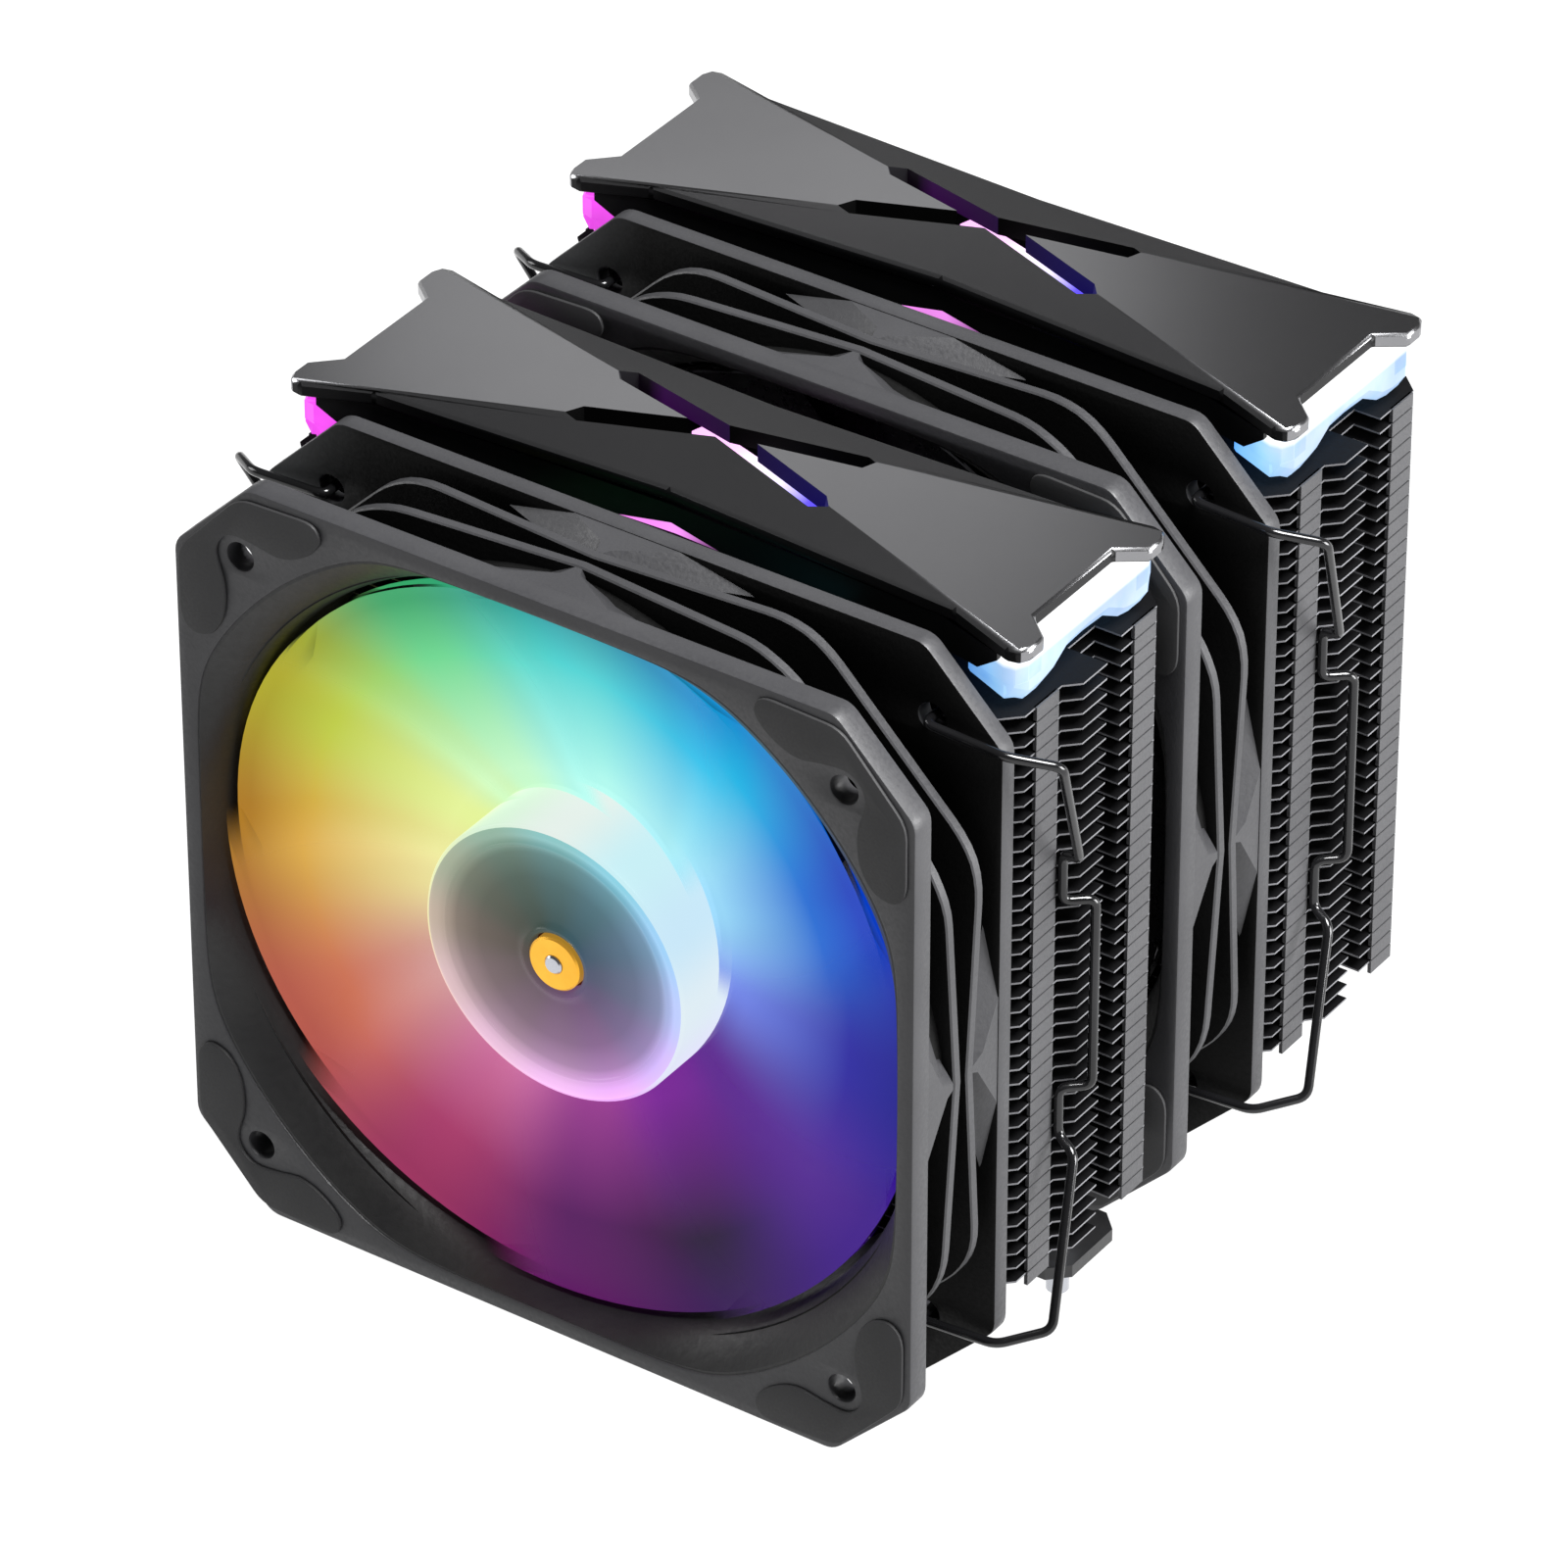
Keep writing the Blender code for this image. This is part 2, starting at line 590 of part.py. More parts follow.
def heat_pipe(index):
    """A pipe from the top of the front tower, down, through the base and up to the top of the rear one."""
    leg_x, stagger = pipe_leg(index)
    base_x = pipe_rank(index) * BASE_PIPE_PITCH
    base_end = PLATE_DEPTH / 2 + 0.0005
    points = []
    for sign in (-1, 1):
        leg_y = sign * TOWER_PITCH / 2 + stagger
        top = Vector((leg_x, leg_y, STACK_TOP + PIPE_PROUD))
        start = Vector((leg_x, leg_y, STACK_BOTTOM - 0.004))
        end = Vector((base_x, sign * base_end, PIPE_AXIS_Z))
        pull_down = start - Vector((0, 0, 0.024))
        pull_out = end + Vector((0, sign * 0.012, 0))
        half = [top]
        steps = 6
        for k in range(steps + 1):
            t = k / steps
            half.append(
                start * (1 - t) ** 3
                + pull_down * (3 * t * (1 - t) ** 2)
                + pull_out * (3 * t * t * (1 - t))
                + end * t**3
            )
        points += half if sign < 0 else half[::-1]
    return tube(points, PIPE_RADIUS, 1)


def place_pipes():
    for index in range(PIPES):
        add_object(f"heat_pipe_{index + 1}", heat_pipe(index), PIPE_COATING)


# ---- Fin stacks --------------------------------------------------------------------------------
def fin_outline():
    """A fin from above, about its tower's middle.  Its side steps out behind the place where a clip rests,
    and has a deep notch behind that."""
    half = FIN_DEPTH / 2
    side = FIN_HALF_WIDTH
    proud = side + FIN_BUMP
    floor = side - SIDE_NOTCH_DEPTH
    step = FRONT_TAB_END + GRIP_POCKET
    notch_end = REAR_TAB_Y - TAB_WIDTH / 2 - SIDE_NOTCH_TO_TAB
    notch_start = notch_end - SIDE_NOTCH_WIDTH
    return mirrored_outline([
        (side - 0.003, -half), (side, -half + 0.003), (side, step), (proud, step + FIN_BUMP),
        (proud, notch_start), (floor, notch_start), (floor, notch_end), (side, notch_end), (side, half),
    ])


def fin_stack():
    """Fins joined along their sides by four strips, which stand for the folded tabs of the real fins."""
    hole = (PIPE_RADIUS + FIT_GAP) / math.cos(math.pi / 4)
    holes = [circle(hole, 4, pipe_leg(index)) for index in range(PIPES)]
    fin = plate([fin_outline(), *holes], 0, FIN_THICK)
    step = (STACK_HEIGHT - FIN_THICK) / (FINS - 1)
    fins = bmesh.new()
    for k in range(FINS):
        fins.from_mesh(moved(fin, Matrix.Translation((0, 0, STACK_BOTTOM + k * step))))
    stack = bpy.data.meshes.new("fins")
    fins.to_mesh(stack)
    fins.free()
    strips = []
    for side in (-1, 1):
        outer = side * (FIN_HALF_WIDTH + TAB_PROUD)
        inner = side * (FIN_HALF_WIDTH - TAB_THICK)
        for middle in (FRONT_TAB_Y, REAR_TAB_Y):
            outline = [
                (outer, middle - TAB_WIDTH / 2), (outer, middle + TAB_WIDTH / 2),
                (inner, middle + TAB_WIDTH / 2), (inner, middle - TAB_WIDTH / 2),
            ]
            strips.append(plate([outline], STACK_BOTTOM - TAB_BELOW, STACK_TOP - FIN_THICK / 2))
    return joined([stack, *strips], solver="MANIFOLD")


# ---- Covers ------------------------------------------------------------------------------------
def cover_outline(inset=0.0):
    """A cover from above: narrow in the middle, with a notch between two horns at each end."""
    end = FIN_HALF_WIDTH + COVER_OVERHANG - inset
    wide = FIN_DEPTH / 2 - COVER_INSET - inset
    waist = wide - 0.0057
    shoulder = wide - 0.0034
    deep = end - NOTCH_DEPTH
    right = [
        (0.0, -waist), (end - 0.0138, -shoulder), (end - 0.0028, -wide), (end * 0.985, -wide * 0.985),
        (end, -wide + 0.0022), (end, -wide + 0.0055), (deep, -wide + 0.0090),
        (deep, wide - 0.0090), (end, wide - 0.0055), (end, wide - 0.0022),
        (end * 0.985, wide * 0.985), (end - 0.0028, wide), (end - 0.0138, shoulder), (0.0, waist),
    ]
    return right + [(-x, y) for x, y in reversed(right) if x > 0]


def roof_height(x, y):
    """The cover's top: it falls from the middle towards the ends and the long edges, and the four slopes meet
    along the diagonals."""
    end = FIN_HALF_WIDTH + COVER_OVERHANG
    wide = FIN_DEPTH / 2 - COVER_INSET
    return COVER_END_TOP + COVER_RISE * (1 - max(abs(x) / end, abs(y) / wide))


def top_cover():
    mesh = bpy.data.meshes.new("roof")
    work = bmesh.new()
    face = work.faces.new([work.verts.new((x, y, 0.0)) for x, y in cover_outline()])
    bmesh.ops.poke(work, faces=[face])
    centre = min(work.verts, key=lambda vertex: vertex.co.length)
    centre.co = (0.0, 0.0, 0.0)
    for vertex in work.verts:
        vertex.co.z = roof_height(vertex.co.x, vertex.co.y)
    drop = bmesh.ops.extrude_face_region(work, geom=list(work.faces))
    for item in drop["geom"]:
        if isinstance(item, bmesh.types.BMVert):
            item.co.z -= COVER_THICK
    bmesh.ops.recalc_face_normals(work, faces=work.faces)
    work.to_mesh(mesh)
    work.free()
    end = FIN_HALF_WIDTH + COVER_OVERHANG
    slope = math.atan2(FIN_DEPTH / 2 - COVER_INSET, end)
    straight = SLIT_HALF_LENGTH - SLIT_TAPER
    outline = [
        (-SLIT_HALF_LENGTH, 0.0), (-straight, -SLIT_WIDTH / 2), (straight, -SLIT_WIDTH / 2),
        (SLIT_HALF_LENGTH, 0.0), (straight, SLIT_WIDTH / 2), (-straight, SLIT_WIDTH / 2),
    ]
    slit = plate([outline], GUIDE_TOP, COVER_END_TOP + COVER_RISE + 0.005)
    slits = [moved(slit, Matrix.Rotation(sign * slope, 4, "Z")) for sign in (1, -1)]
    return joined([mesh, *slits], "DIFFERENCE")


def light_guide():
    """A clear plate under the cover, with horns that hang over the top fin's corners."""
    body = plate([cover_outline(GUIDE_INSET)], GUIDE_BOTTOM + GUIDE_HORN, GUIDE_TOP)
    end = FIN_HALF_WIDTH + COVER_OVERHANG - GUIDE_INSET
    wide = FIN_DEPTH / 2 - COVER_INSET - GUIDE_INSET
    horn_outline = [
        (end - 0.011, -wide + 0.0012), (end - 0.003, -wide + 0.0004), (end - 0.0006, -wide + 0.0028),
        (end - 0.0006, -wide + 0.0052), (end - 0.004, -wide + 0.0082), (end - 0.011, -wide + 0.0062),
    ]
    horn = plate([horn_outline], GUIDE_BOTTOM, GUIDE_BOTTOM + GUIDE_HORN + 0.001)
    mirror_x = Matrix.Scale(-1, 4, (1, 0, 0))
    mirror_y = Matrix.Scale(-1, 4, (0, 1, 0))
    horns = [
        horn, moved(horn, mirror_x), moved(horn, mirror_y), moved(horn, mirror_x @ mirror_y),
    ]
    return joined([body, *horns])


def led_board():
    """The strip of lamps that lies on the light guide, under the middle of the cover."""
    half_length = 0.036
    half_width = 0.0045
    low = GUIDE_TOP + FIT_GAP
    outline = [
        (-half_length, -half_width), (half_length, -half_width), (half_length, half_width),
        (-half_length, half_width),
    ]
    return plate([outline], low, low + LED_BOARD_THICK)


def place_towers():
    pieces = {
        "fin_stack": (fin_stack(), FIN_COATING),
        "top_cover": (top_cover(), COVER_METAL),
        "light_guide": (light_guide(), CLEAR_GUIDE),
        "led_board": (led_board(), BOARD),
    }
    for tower, y in TOWER_Y.items():
        for name, (mesh, material) in pieces.items():
            add_object(f"{tower}_{name}", mesh, material, Matrix.Translation((0, y, 0)))


# ---- Base --------------------------------------------------------------------------------------
def pipe_grooves(radius):
    """One cutter for each pipe's groove through the base."""
    reach = PLATE_DEPTH
    grooves = []
    for index in range(PIPES):
        ring = circle(radius / math.cos(math.pi / 8), 8, (pipe_rank(index) * BASE_PIPE_PITCH, PIPE_AXIS_Z))
        grooves.append(plate([ring], -reach, reach, upright=True))
    return grooves


def rounded_rectangle(half_x, half_y, cut):
    return [
        (half_x, -half_y + cut), (half_x, half_y - cut), (half_x - cut, half_y), (-half_x + cut, half_y),
        (-half_x, half_y - cut), (-half_x, -half_y + cut), (-half_x + cut, -half_y), (half_x - cut, -half_y),
    ]


def place_base():
    grooves = pipe_grooves(PIPE_RADIUS + FIT_GAP)
    plate_outline = rounded_rectangle(PLATE_WIDTH / 2, PLATE_DEPTH / 2, 0.0015)
    cap_outline = rounded_rectangle(PLATE_WIDTH / 2 + 0.001, PLATE_DEPTH / 2 - 0.001, 0.0015)
    cold_plate = joined([plate([plate_outline], 0, PLATE_TOP), *grooves], "DIFFERENCE")
    cap = joined([plate([cap_outline], PLATE_TOP + FIT_GAP, CAP_TOP), *grooves], "DIFFERENCE")
    screw_holes = [circle(SCREW_RADIUS + FIT_GAP, 12, (sign * SCREW_X, 0)) for sign in (-1, 1)]
    bar_outline = rounded_rectangle(SCREW_X + BAR_END, BAR_WIDTH / 2, 0.003)
    bar = plate([bar_outline, *screw_holes], BAR_BOTTOM, BAR_TOP)
    add_object("cold_plate", cold_plate, NICKEL)
    add_object("base_cap", cap, FIN_COATING)
    add_object("mounting_bar", bar, PIPE_COATING)


def coil_spring():
    per_turn = 7
    count = SPRING_TURNS * per_turn
    rise = SPRING_LENGTH - 2 * SPRING_WIRE
    return tube(
        [
            (
                SPRING_RADIUS * math.cos(2 * math.pi * k / per_turn),
                SPRING_RADIUS * math.sin(2 * math.pi * k / per_turn),
                SPRING_BOTTOM + SPRING_WIRE + rise * k / count,
            )
            for k in range(count + 1)
        ],
        SPRING_WIRE,
        1,
    )


def spring_screw():
    """A shouldered screw with a cross slot in its head."""
    edge = 0.0006
    slot_depth = 0.0015
    screw = turned(
        [
            (0.0, SCREW_TOP), (SCREW_HEAD_RADIUS - edge, SCREW_TOP), (SCREW_HEAD_RADIUS, SCREW_TOP - edge),
            (SCREW_HEAD_RADIUS, SCREW_HEAD_BOTTOM), (SCREW_RADIUS, SCREW_HEAD_BOTTOM),
            (SCREW_RADIUS, SCREW_TIP_Z + edge), (SCREW_RADIUS - edge, SCREW_TIP_Z), (0.0, SCREW_TIP_Z),
        ],
        16,
        upright=False,
    )
    slot_outline = rounded_rectangle(0.0006, SCREW_HEAD_RADIUS + 0.001, 0.0001)
    slot = plate([slot_outline], SCREW_TOP - slot_depth, SCREW_TOP + 0.001)
    return joined([screw, slot, moved(slot, Matrix.Rotation(math.pi / 2, 4, "Z"))], "DIFFERENCE")


def place_screws():
    """Spring screws: a coil spring stands on the bar, under a washer and the screw's head."""
    washer_rim = circle(SPRING_RADIUS + 2 * SPRING_WIRE, 16)
    washer_bore = circle(SCREW_RADIUS + FIT_GAP, 12)
    washer = plate([washer_rim, washer_bore], WASHER_BOTTOM, WASHER_BOTTOM + WASHER_THICK)
    pieces = {"spring": coil_spring(), "washer": washer, "screw": spring_screw()}
    for side, sign in (("left", -1), ("right", 1)):
        for name, mesh in pieces.items():
            add_object(f"mount_{name}_{side}", mesh, STEEL, Matrix.Translation((sign * SCREW_X, 0, 0)))


place_fans()
place_clips()
place_pipes()
place_towers()
place_base()
place_screws()
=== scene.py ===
"""Twin-tower processor cooler: two fans, the front one lit, clipped to two fin towers with lit covers, over
six heat pipes and a base.

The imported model's parts are loaded first.  Some only get a material; the others are stood for by the shapes
below, which are written in millimetres and turned into metres where each piece is made.  Fans are built about
their own axis and front face, towers about their own middle.
"""

import math

import bpy
import numpy as np
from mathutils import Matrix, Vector


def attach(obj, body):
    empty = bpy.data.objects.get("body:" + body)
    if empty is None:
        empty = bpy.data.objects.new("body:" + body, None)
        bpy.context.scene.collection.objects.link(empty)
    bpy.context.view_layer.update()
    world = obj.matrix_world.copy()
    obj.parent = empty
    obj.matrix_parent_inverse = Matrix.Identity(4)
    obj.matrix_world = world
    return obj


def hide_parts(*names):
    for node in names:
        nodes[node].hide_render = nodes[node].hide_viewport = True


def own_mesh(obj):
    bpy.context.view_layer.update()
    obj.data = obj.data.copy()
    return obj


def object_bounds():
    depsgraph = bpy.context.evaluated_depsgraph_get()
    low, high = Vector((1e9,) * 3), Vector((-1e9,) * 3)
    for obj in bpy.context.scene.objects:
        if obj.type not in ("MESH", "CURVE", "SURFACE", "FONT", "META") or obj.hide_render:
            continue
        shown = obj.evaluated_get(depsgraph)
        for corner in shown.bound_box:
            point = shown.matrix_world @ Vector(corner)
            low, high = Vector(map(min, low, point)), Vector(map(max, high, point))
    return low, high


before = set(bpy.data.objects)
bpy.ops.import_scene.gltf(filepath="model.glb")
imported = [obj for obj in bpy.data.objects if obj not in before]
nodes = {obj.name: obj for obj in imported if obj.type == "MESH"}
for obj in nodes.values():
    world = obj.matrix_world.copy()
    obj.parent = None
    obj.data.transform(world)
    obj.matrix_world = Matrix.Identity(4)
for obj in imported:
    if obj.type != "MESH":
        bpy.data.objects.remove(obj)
cad_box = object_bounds()

# ---- Camera, lights and floor --------------------------------------------------------------------
# A long lens looks down on the front right corner.  The floor is a pale sheet that gives off light; a high
# lamp and a lamp at the right light the edges, and a small card behind gives the satin metal its sheen.
camera = bpy.data.objects.new("camera", bpy.data.cameras.new("camera"))
camera.data.lens = 232.16
camera.data.sensor_width = 36
camera.data.clip_start = 0.05
camera.data.clip_end = 30
camera.location = (0.70206, -1.04261, 0.93897)
camera_aim = Vector((-0.0056, -0.0112, 0.0847))
camera.rotation_euler = (camera_aim - camera.location).to_track_quat("-Z", "Y").to_euler()
bpy.context.scene.collection.objects.link(camera)
bpy.context.scene.camera = camera
bpy.context.scene.view_settings.view_transform = "Standard"


def lamp(name, place, aim, size, watts):
    """A square soft lamp at place that points at aim."""
    light = bpy.data.lights.new(name, "AREA")
    light.shape = "SQUARE"
    light.size = size
    light.energy = watts
    holder = bpy.data.objects.new(name, light)
    holder.location = place
    holder.rotation_euler = (Vector(aim) - Vector(place)).to_track_quat("-Z", "Y").to_euler()
    bpy.context.scene.collection.objects.link(holder)


lamp("high_lamp", (0.62, 0.02, 1.25), (0, 0, 0.1), 0.6, 54.0)
lamp("right_lamp", (1.25, 0.42, 0.30), (0, 0.0, 0.09), 0.7, 32.0)
lamp("left_lamp", (-1.2, -0.25, 0.55), (0, 0, 0.1), 0.6, 6.0)
lamp("sheen_card", (-0.27, 0.36, 0.44), (0, -0.02, 0.158), 0.22, 0.115)

sky = bpy.data.worlds.new("studio")
sky.use_nodes = True
sky.node_tree.nodes["Background"].inputs["Color"].default_value = (1, 1, 1, 1)
sky.node_tree.nodes["Background"].inputs["Strength"].default_value = 0.10
bpy.context.scene.world = sky


def add_node(tree, kind, inputs=None, **settings):
    """A node of this kind; each input is set to its value or joined to the output that is given."""
    made = tree.nodes.new("ShaderNode" + kind)
    for key, value in settings.items():
        setattr(made, key, value)
    for key, value in (inputs or {}).items():
        if isinstance(value, bpy.types.NodeSocket):
            tree.links.new(value, made.inputs[key])
        else:
            made.inputs[key].default_value = value
    return made


def noise(tree, scale, detail, stretch=(1, 1, 1)):
    """Noise over the object's own coordinates, as a value about 0.5."""
    place = add_node(tree, "TexCoord").outputs["Object"]
    spread = add_node(tree, "Mapping", {"Vector": place, "Scale": stretch})
    inputs = {"Vector": spread.outputs[0], "Scale": scale, "Detail": detail}
    return add_node(tree, "TexNoise", inputs).outputs["Fac"]


def coordinate(tree, axis):
    """How far along the object's own X, Y or Z a point lies, in metres."""
    place = add_node(tree, "TexCoord").outputs["Object"]
    return add_node(tree, "SeparateXYZ", {0: place}).outputs[axis]


def ranged(tree, value, low, high, out_low, out_high):
    """value carried from low..high to out_low..out_high, held at the ends."""
    names = {"Value": value, "From Min": low, "From Max": high, "To Min": out_low, "To Max": out_high}
    return add_node(tree, "MapRange", names).outputs["Result"]


def blended(tree, factor, first, second, kind="MIX"):
    """Two colours mixed by factor; either may be a plain colour."""
    mix = add_node(tree, "Mix", data_type="RGBA", blend_type=kind)
    for socket, value in ((mix.inputs[0], factor), (mix.inputs[6], first), (mix.inputs[7], second)):
        if isinstance(value, bpy.types.NodeSocket):
            tree.links.new(value, socket)
        else:
            socket.default_value = value
    return mix.outputs[2]


def paint(red, green, blue):
    """A display colour of 0 to 255 as linear light."""
    steps = [value / 255 for value in (red, green, blue)]
    linear = [s / 12.92 if s <= 0.04045 else ((s + 0.055) / 1.055) ** 2.4 for s in steps]
    return (*linear, 1.0)


def ramped(tree, value, stops):
    """Display colours set out along value, each given with its place from 0 to 1."""
    ramp = add_node(tree, "ValToRGB", {"Fac": value})
    ramp.color_ramp.elements[0].color = paint(*stops[0][1])
    ramp.color_ramp.elements[1].color = paint(*stops[-1][1])
    for stop, colour in stops[1:-1]:
        ramp.color_ramp.elements.new(stop).color = paint(*colour)
    return ramp.outputs["Color"]


def finish(name, colour, second, roughness, metallic=0.0, grain=(400, 0.15, 0.03), patches=60, specular=0.5):
    """A material that runs between two colours in broad patches.  grain is the scale of a fine grain, its
    height and its swing in roughness."""
    material = bpy.data.materials.new(name)
    material.use_nodes = True
    tree = material.node_tree
    shader = tree.nodes["Principled BSDF"]
    broad = noise(tree, patches, 3)
    fine = noise(tree, grain[0], 6)
    mottled = blended(tree, ranged(tree, broad, 0.35, 0.65, 0, 1), colour, second)
    tree.links.new(mottled, shader.inputs["Base Color"])
    swing = ranged(tree, fine, 0.3, 0.7, roughness - grain[2], roughness + grain[2])
    tree.links.new(swing, shader.inputs["Roughness"])
    bump = add_node(tree, "Bump", {"Strength": grain[1], "Distance": 0.0002, "Height": fine})
    tree.links.new(bump.outputs[0], shader.inputs["Normal"])
    shader.inputs["Metallic"].default_value = metallic
    shader.inputs["Specular IOR Level"].default_value = specular
    return material


floor_mesh = bpy.data.meshes.new("floor")
floor_mesh.from_pydata([(-9, -9, 0), (9, -9, 0), (9, 9, 0), (-9, 9, 0)], [], [(0, 1, 2, 3)])
floor = bpy.data.objects.new("floor", floor_mesh)
floor.location.z = cad_box[0].z - 0.0003
bpy.context.scene.collection.objects.link(floor)
floor_paint = finish(
    "pale_floor", (0.08, 0.08, 0.08, 1), (0.078, 0.078, 0.08, 1), 0.9, grain=(300, 0.0, 0.02), specular=0.0,
)
floor_paint.node_tree.nodes["Principled BSDF"].inputs["Emission Color"].default_value = (1, 1, 1, 1)
floor_paint.node_tree.nodes["Principled BSDF"].inputs["Emission Strength"].default_value = 1.0
floor_mesh.materials.append(floor_paint)

# ---- Fan frames ----------------------------------------------------------------------------------
# Each frame is one moulding in black glass-filled nylon: two eight-sided flanges joined by a round duct,
# with a flared, grained mouth, two thin rings round the duct, bumps in the middle of each side, and four
# struts that hold the motor's seat at the back.
FAN_AXIS = 93.0
FAN_FRONTS = {"front_fan": -81.2, "middle_fan": -11.2}
FLANGE_HALF, FLANGE_CUT = 64.5, 13.5


def skin(points, closed=True):
    """A grid of points as (points, faces).  Each row runs round into itself.  When closed, the last row is
    joined to the first; otherwise those two rows are each filled with a face."""
    rows, columns = points.shape[:2]
    index = np.arange(rows * columns).reshape(rows, columns)
    ends = [] if closed else [index[0].tolist(), index[-1, ::-1].tolist()]
    if closed:
        index = np.vstack([index, index[:1]])
    index = np.hstack([index, index[:, :1]])
    quads = np.stack([index[:-1, :-1], index[1:, :-1], index[1:, 1:], index[:-1, 1:]], -1)
    return points.reshape(-1, 3), quads.reshape(-1, 4).tolist() + ends


def volume(shape):
    """Six times the volume inside a closed shape, below zero when it is inside out."""
    points, faces = shape
    total = 0.0
    for face in faces:
        corner = points[face]
        total += (np.cross(corner[1:-1], corner[2:]) @ corner[0]).sum()
    return total


def piece(name, parts, materials, body, stands_for=(), at=(0, 0, 0), crease=32.0):
    """An object made of closed shapes in millimetres, each given with its place in materials, or with a list
    of places, one for each face, and moved by at."""
    points, faces, choice = [], [], []
    start = 0
    for shape, material in parts:
        turn = volume(shape) < 0
        points.append(shape[0])
        faces += [[start + i for i in (reversed(face) if turn else face)] for face in shape[1]]
        choice += material if isinstance(material, list) else [material] * len(shape[1])
        start += len(shape[0])
    mesh = bpy.data.meshes.new(name)
    mesh.from_pydata(((np.concatenate(points) + np.array(at)) / 1000).tolist(), [], faces)
    for material in materials:
        mesh.materials.append(material)
    mesh.polygons.foreach_set("material_index", np.array(choice, np.int32))
    mesh.shade_smooth()
    mesh.set_sharp_from_angle(angle=math.radians(crease))
    made = bpy.data.objects.new(name, mesh)
    bpy.context.scene.collection.objects.link(made)
    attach(made, body)
    if stands_for:
        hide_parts(*stands_for)
    return made


def ordered(outline):
    """The outline as an array that runs anticlockwise."""
    outline = np.array(outline, float)
    x, y = outline.T
    return outline if (x * np.roll(y, -1) - y * np.roll(x, -1)).sum() > 0 else outline[::-1]


def inset(outline, distance):
    """The outline with each edge moved inwards by distance, each corner along the mitre of its two edges."""
    after = np.roll(outline, -1, 0) - outline
    after = np.stack([-after[:, 1], after[:, 0]], 1) / np.linalg.norm(after, axis=1, keepdims=True)
    before = np.roll(after, 1, 0)
    mitre = (after + before) / np.maximum(1 + (after * before).sum(1, keepdims=True), 0.35)
    return outline + distance * mitre


def slab(outline, low, high, bevel=0.0, upright=False):
    """A flat solid between low and high, its edges rounded off by insetting the outline near them.  The
    outline is in X and Y, or in X and Z when it stands upright."""
    outline = ordered(outline)
    steps = [(0, low), (0, high)]
    if bevel:
        soft = 0.3 * bevel
        steps = [(bevel, low), (soft, low + soft), (0, low + bevel)]
        steps += [(0, high - bevel), (soft, high - soft), (bevel, high)]
    rows = [np.column_stack([inset(outline, move), np.full(len(outline), level)]) for move, level in steps]
    points = np.array(rows)
    if upright:
        points = points[..., [0, 2, 1]]
    return skin(points, closed=False)


def octagon(half, cut):
    """A square with its corners cut."""
    near = half - cut
    return np.array([
        (half, -near), (half, near), (near, half), (-near, half),
        (-half, near), (-half, -near), (-near, -half), (near, -half),
    ])


def eased(last, corner, coming, radius, most, steps):
    """The curve (1-t)^2 start + 2t(1-t) corner + t^2 end.  It starts radius before the corner and ends radius
    after it, or at the share called most of the way to the neighbouring corner when that is nearer."""
    t = np.linspace(0, 1, steps)[:, None]
    start = corner + (last - corner) * min(most, radius / np.linalg.norm(last - corner))
    end = corner + (coming - corner) * min(most, radius / np.linalg.norm(coming - corner))
    return (1 - t) ** 2 * start + 2 * t * (1 - t) * corner + t**2 * end


def rounded(outline, radius, steps):
    """The outline with each corner replaced by a curve of so many steps."""
    outline = np.array(outline, float)
    trios = zip(np.roll(outline, 1, 0), outline, np.roll(outline, -1, 0))
    return np.concatenate([eased(*trio, radius, 0.45, steps + 1) for trio in trios])


def ring(radius, steps, centre=(0, 0)):
    """A circle as an outline."""
    angle = np.arange(steps) * 2 * np.pi / steps
    return np.column_stack([centre[0] + radius * np.cos(angle), centre[1] + radius * np.sin(angle)])


def pierced(outlines, low, high, bevel):
    """An upright plate between low and high.  The first outline is its rim and the others are holes in it."""
    curve = bpy.data.curves.new("plate", "CURVE")
    curve.dimensions = "2D"
    curve.fill_mode = "BOTH"
    curve.extrude = (high - low) / 2 - bevel
    curve.bevel_depth = bevel
    curve.bevel_resolution = 1
    curve.offset = -bevel
    for outline in outlines:
        spline = curve.splines.new("POLY")
        spline.points.add(len(outline) - 1)
        corners = np.column_stack([outline, np.zeros(len(outline)), np.ones(len(outline))])
        spline.points.foreach_set("co", corners.ravel())
        spline.use_cyclic_u = True
    holder = bpy.data.objects.new("plate", curve)
    bpy.context.scene.collection.objects.link(holder)
    mesh = bpy.data.meshes.new_from_object(holder.evaluated_get(bpy.context.evaluated_depsgraph_get()))
    points = np.empty(len(mesh.vertices) * 3)
    mesh.vertices.foreach_get("co", points)
    points = points.reshape(-1, 3)
    faces = [list(face.vertices) for face in mesh.polygons]
    bpy.data.objects.remove(holder)
    _, first, index = np.unique(np.round(points, 3), axis=0, return_index=True, return_inverse=True)
    index = index.reshape(-1)
    faces = [[int(index[i]) for i in face] for face in faces]
    faces = [[i for n, i in enumerate(face) if i != face[n - 1]] for face in faces]
    points = points[first]
    points = np.column_stack([points[:, 0], (low + high) / 2 - points[:, 2], points[:, 1]])
    return points, [face for face in faces if len(face) > 2]


def mouth_radius(angle):
    """The radius of the mouth's edge, which follows whichever is nearer of a circle of radius 67.5 and the
    sides of a square 61.7 from the axis: (|cos/61.7|^44 + |sin/61.7|^44 + (1/67.5)^44)^(-1/44)."""
    side, circle, power = 61.7, 67.5, 44
    across = (np.abs(np.cos(angle)) / side) ** power
    upright = (np.abs(np.sin(angle)) / side) ** power
    return (across + upright + (1 / circle) ** power) ** (-1 / power)


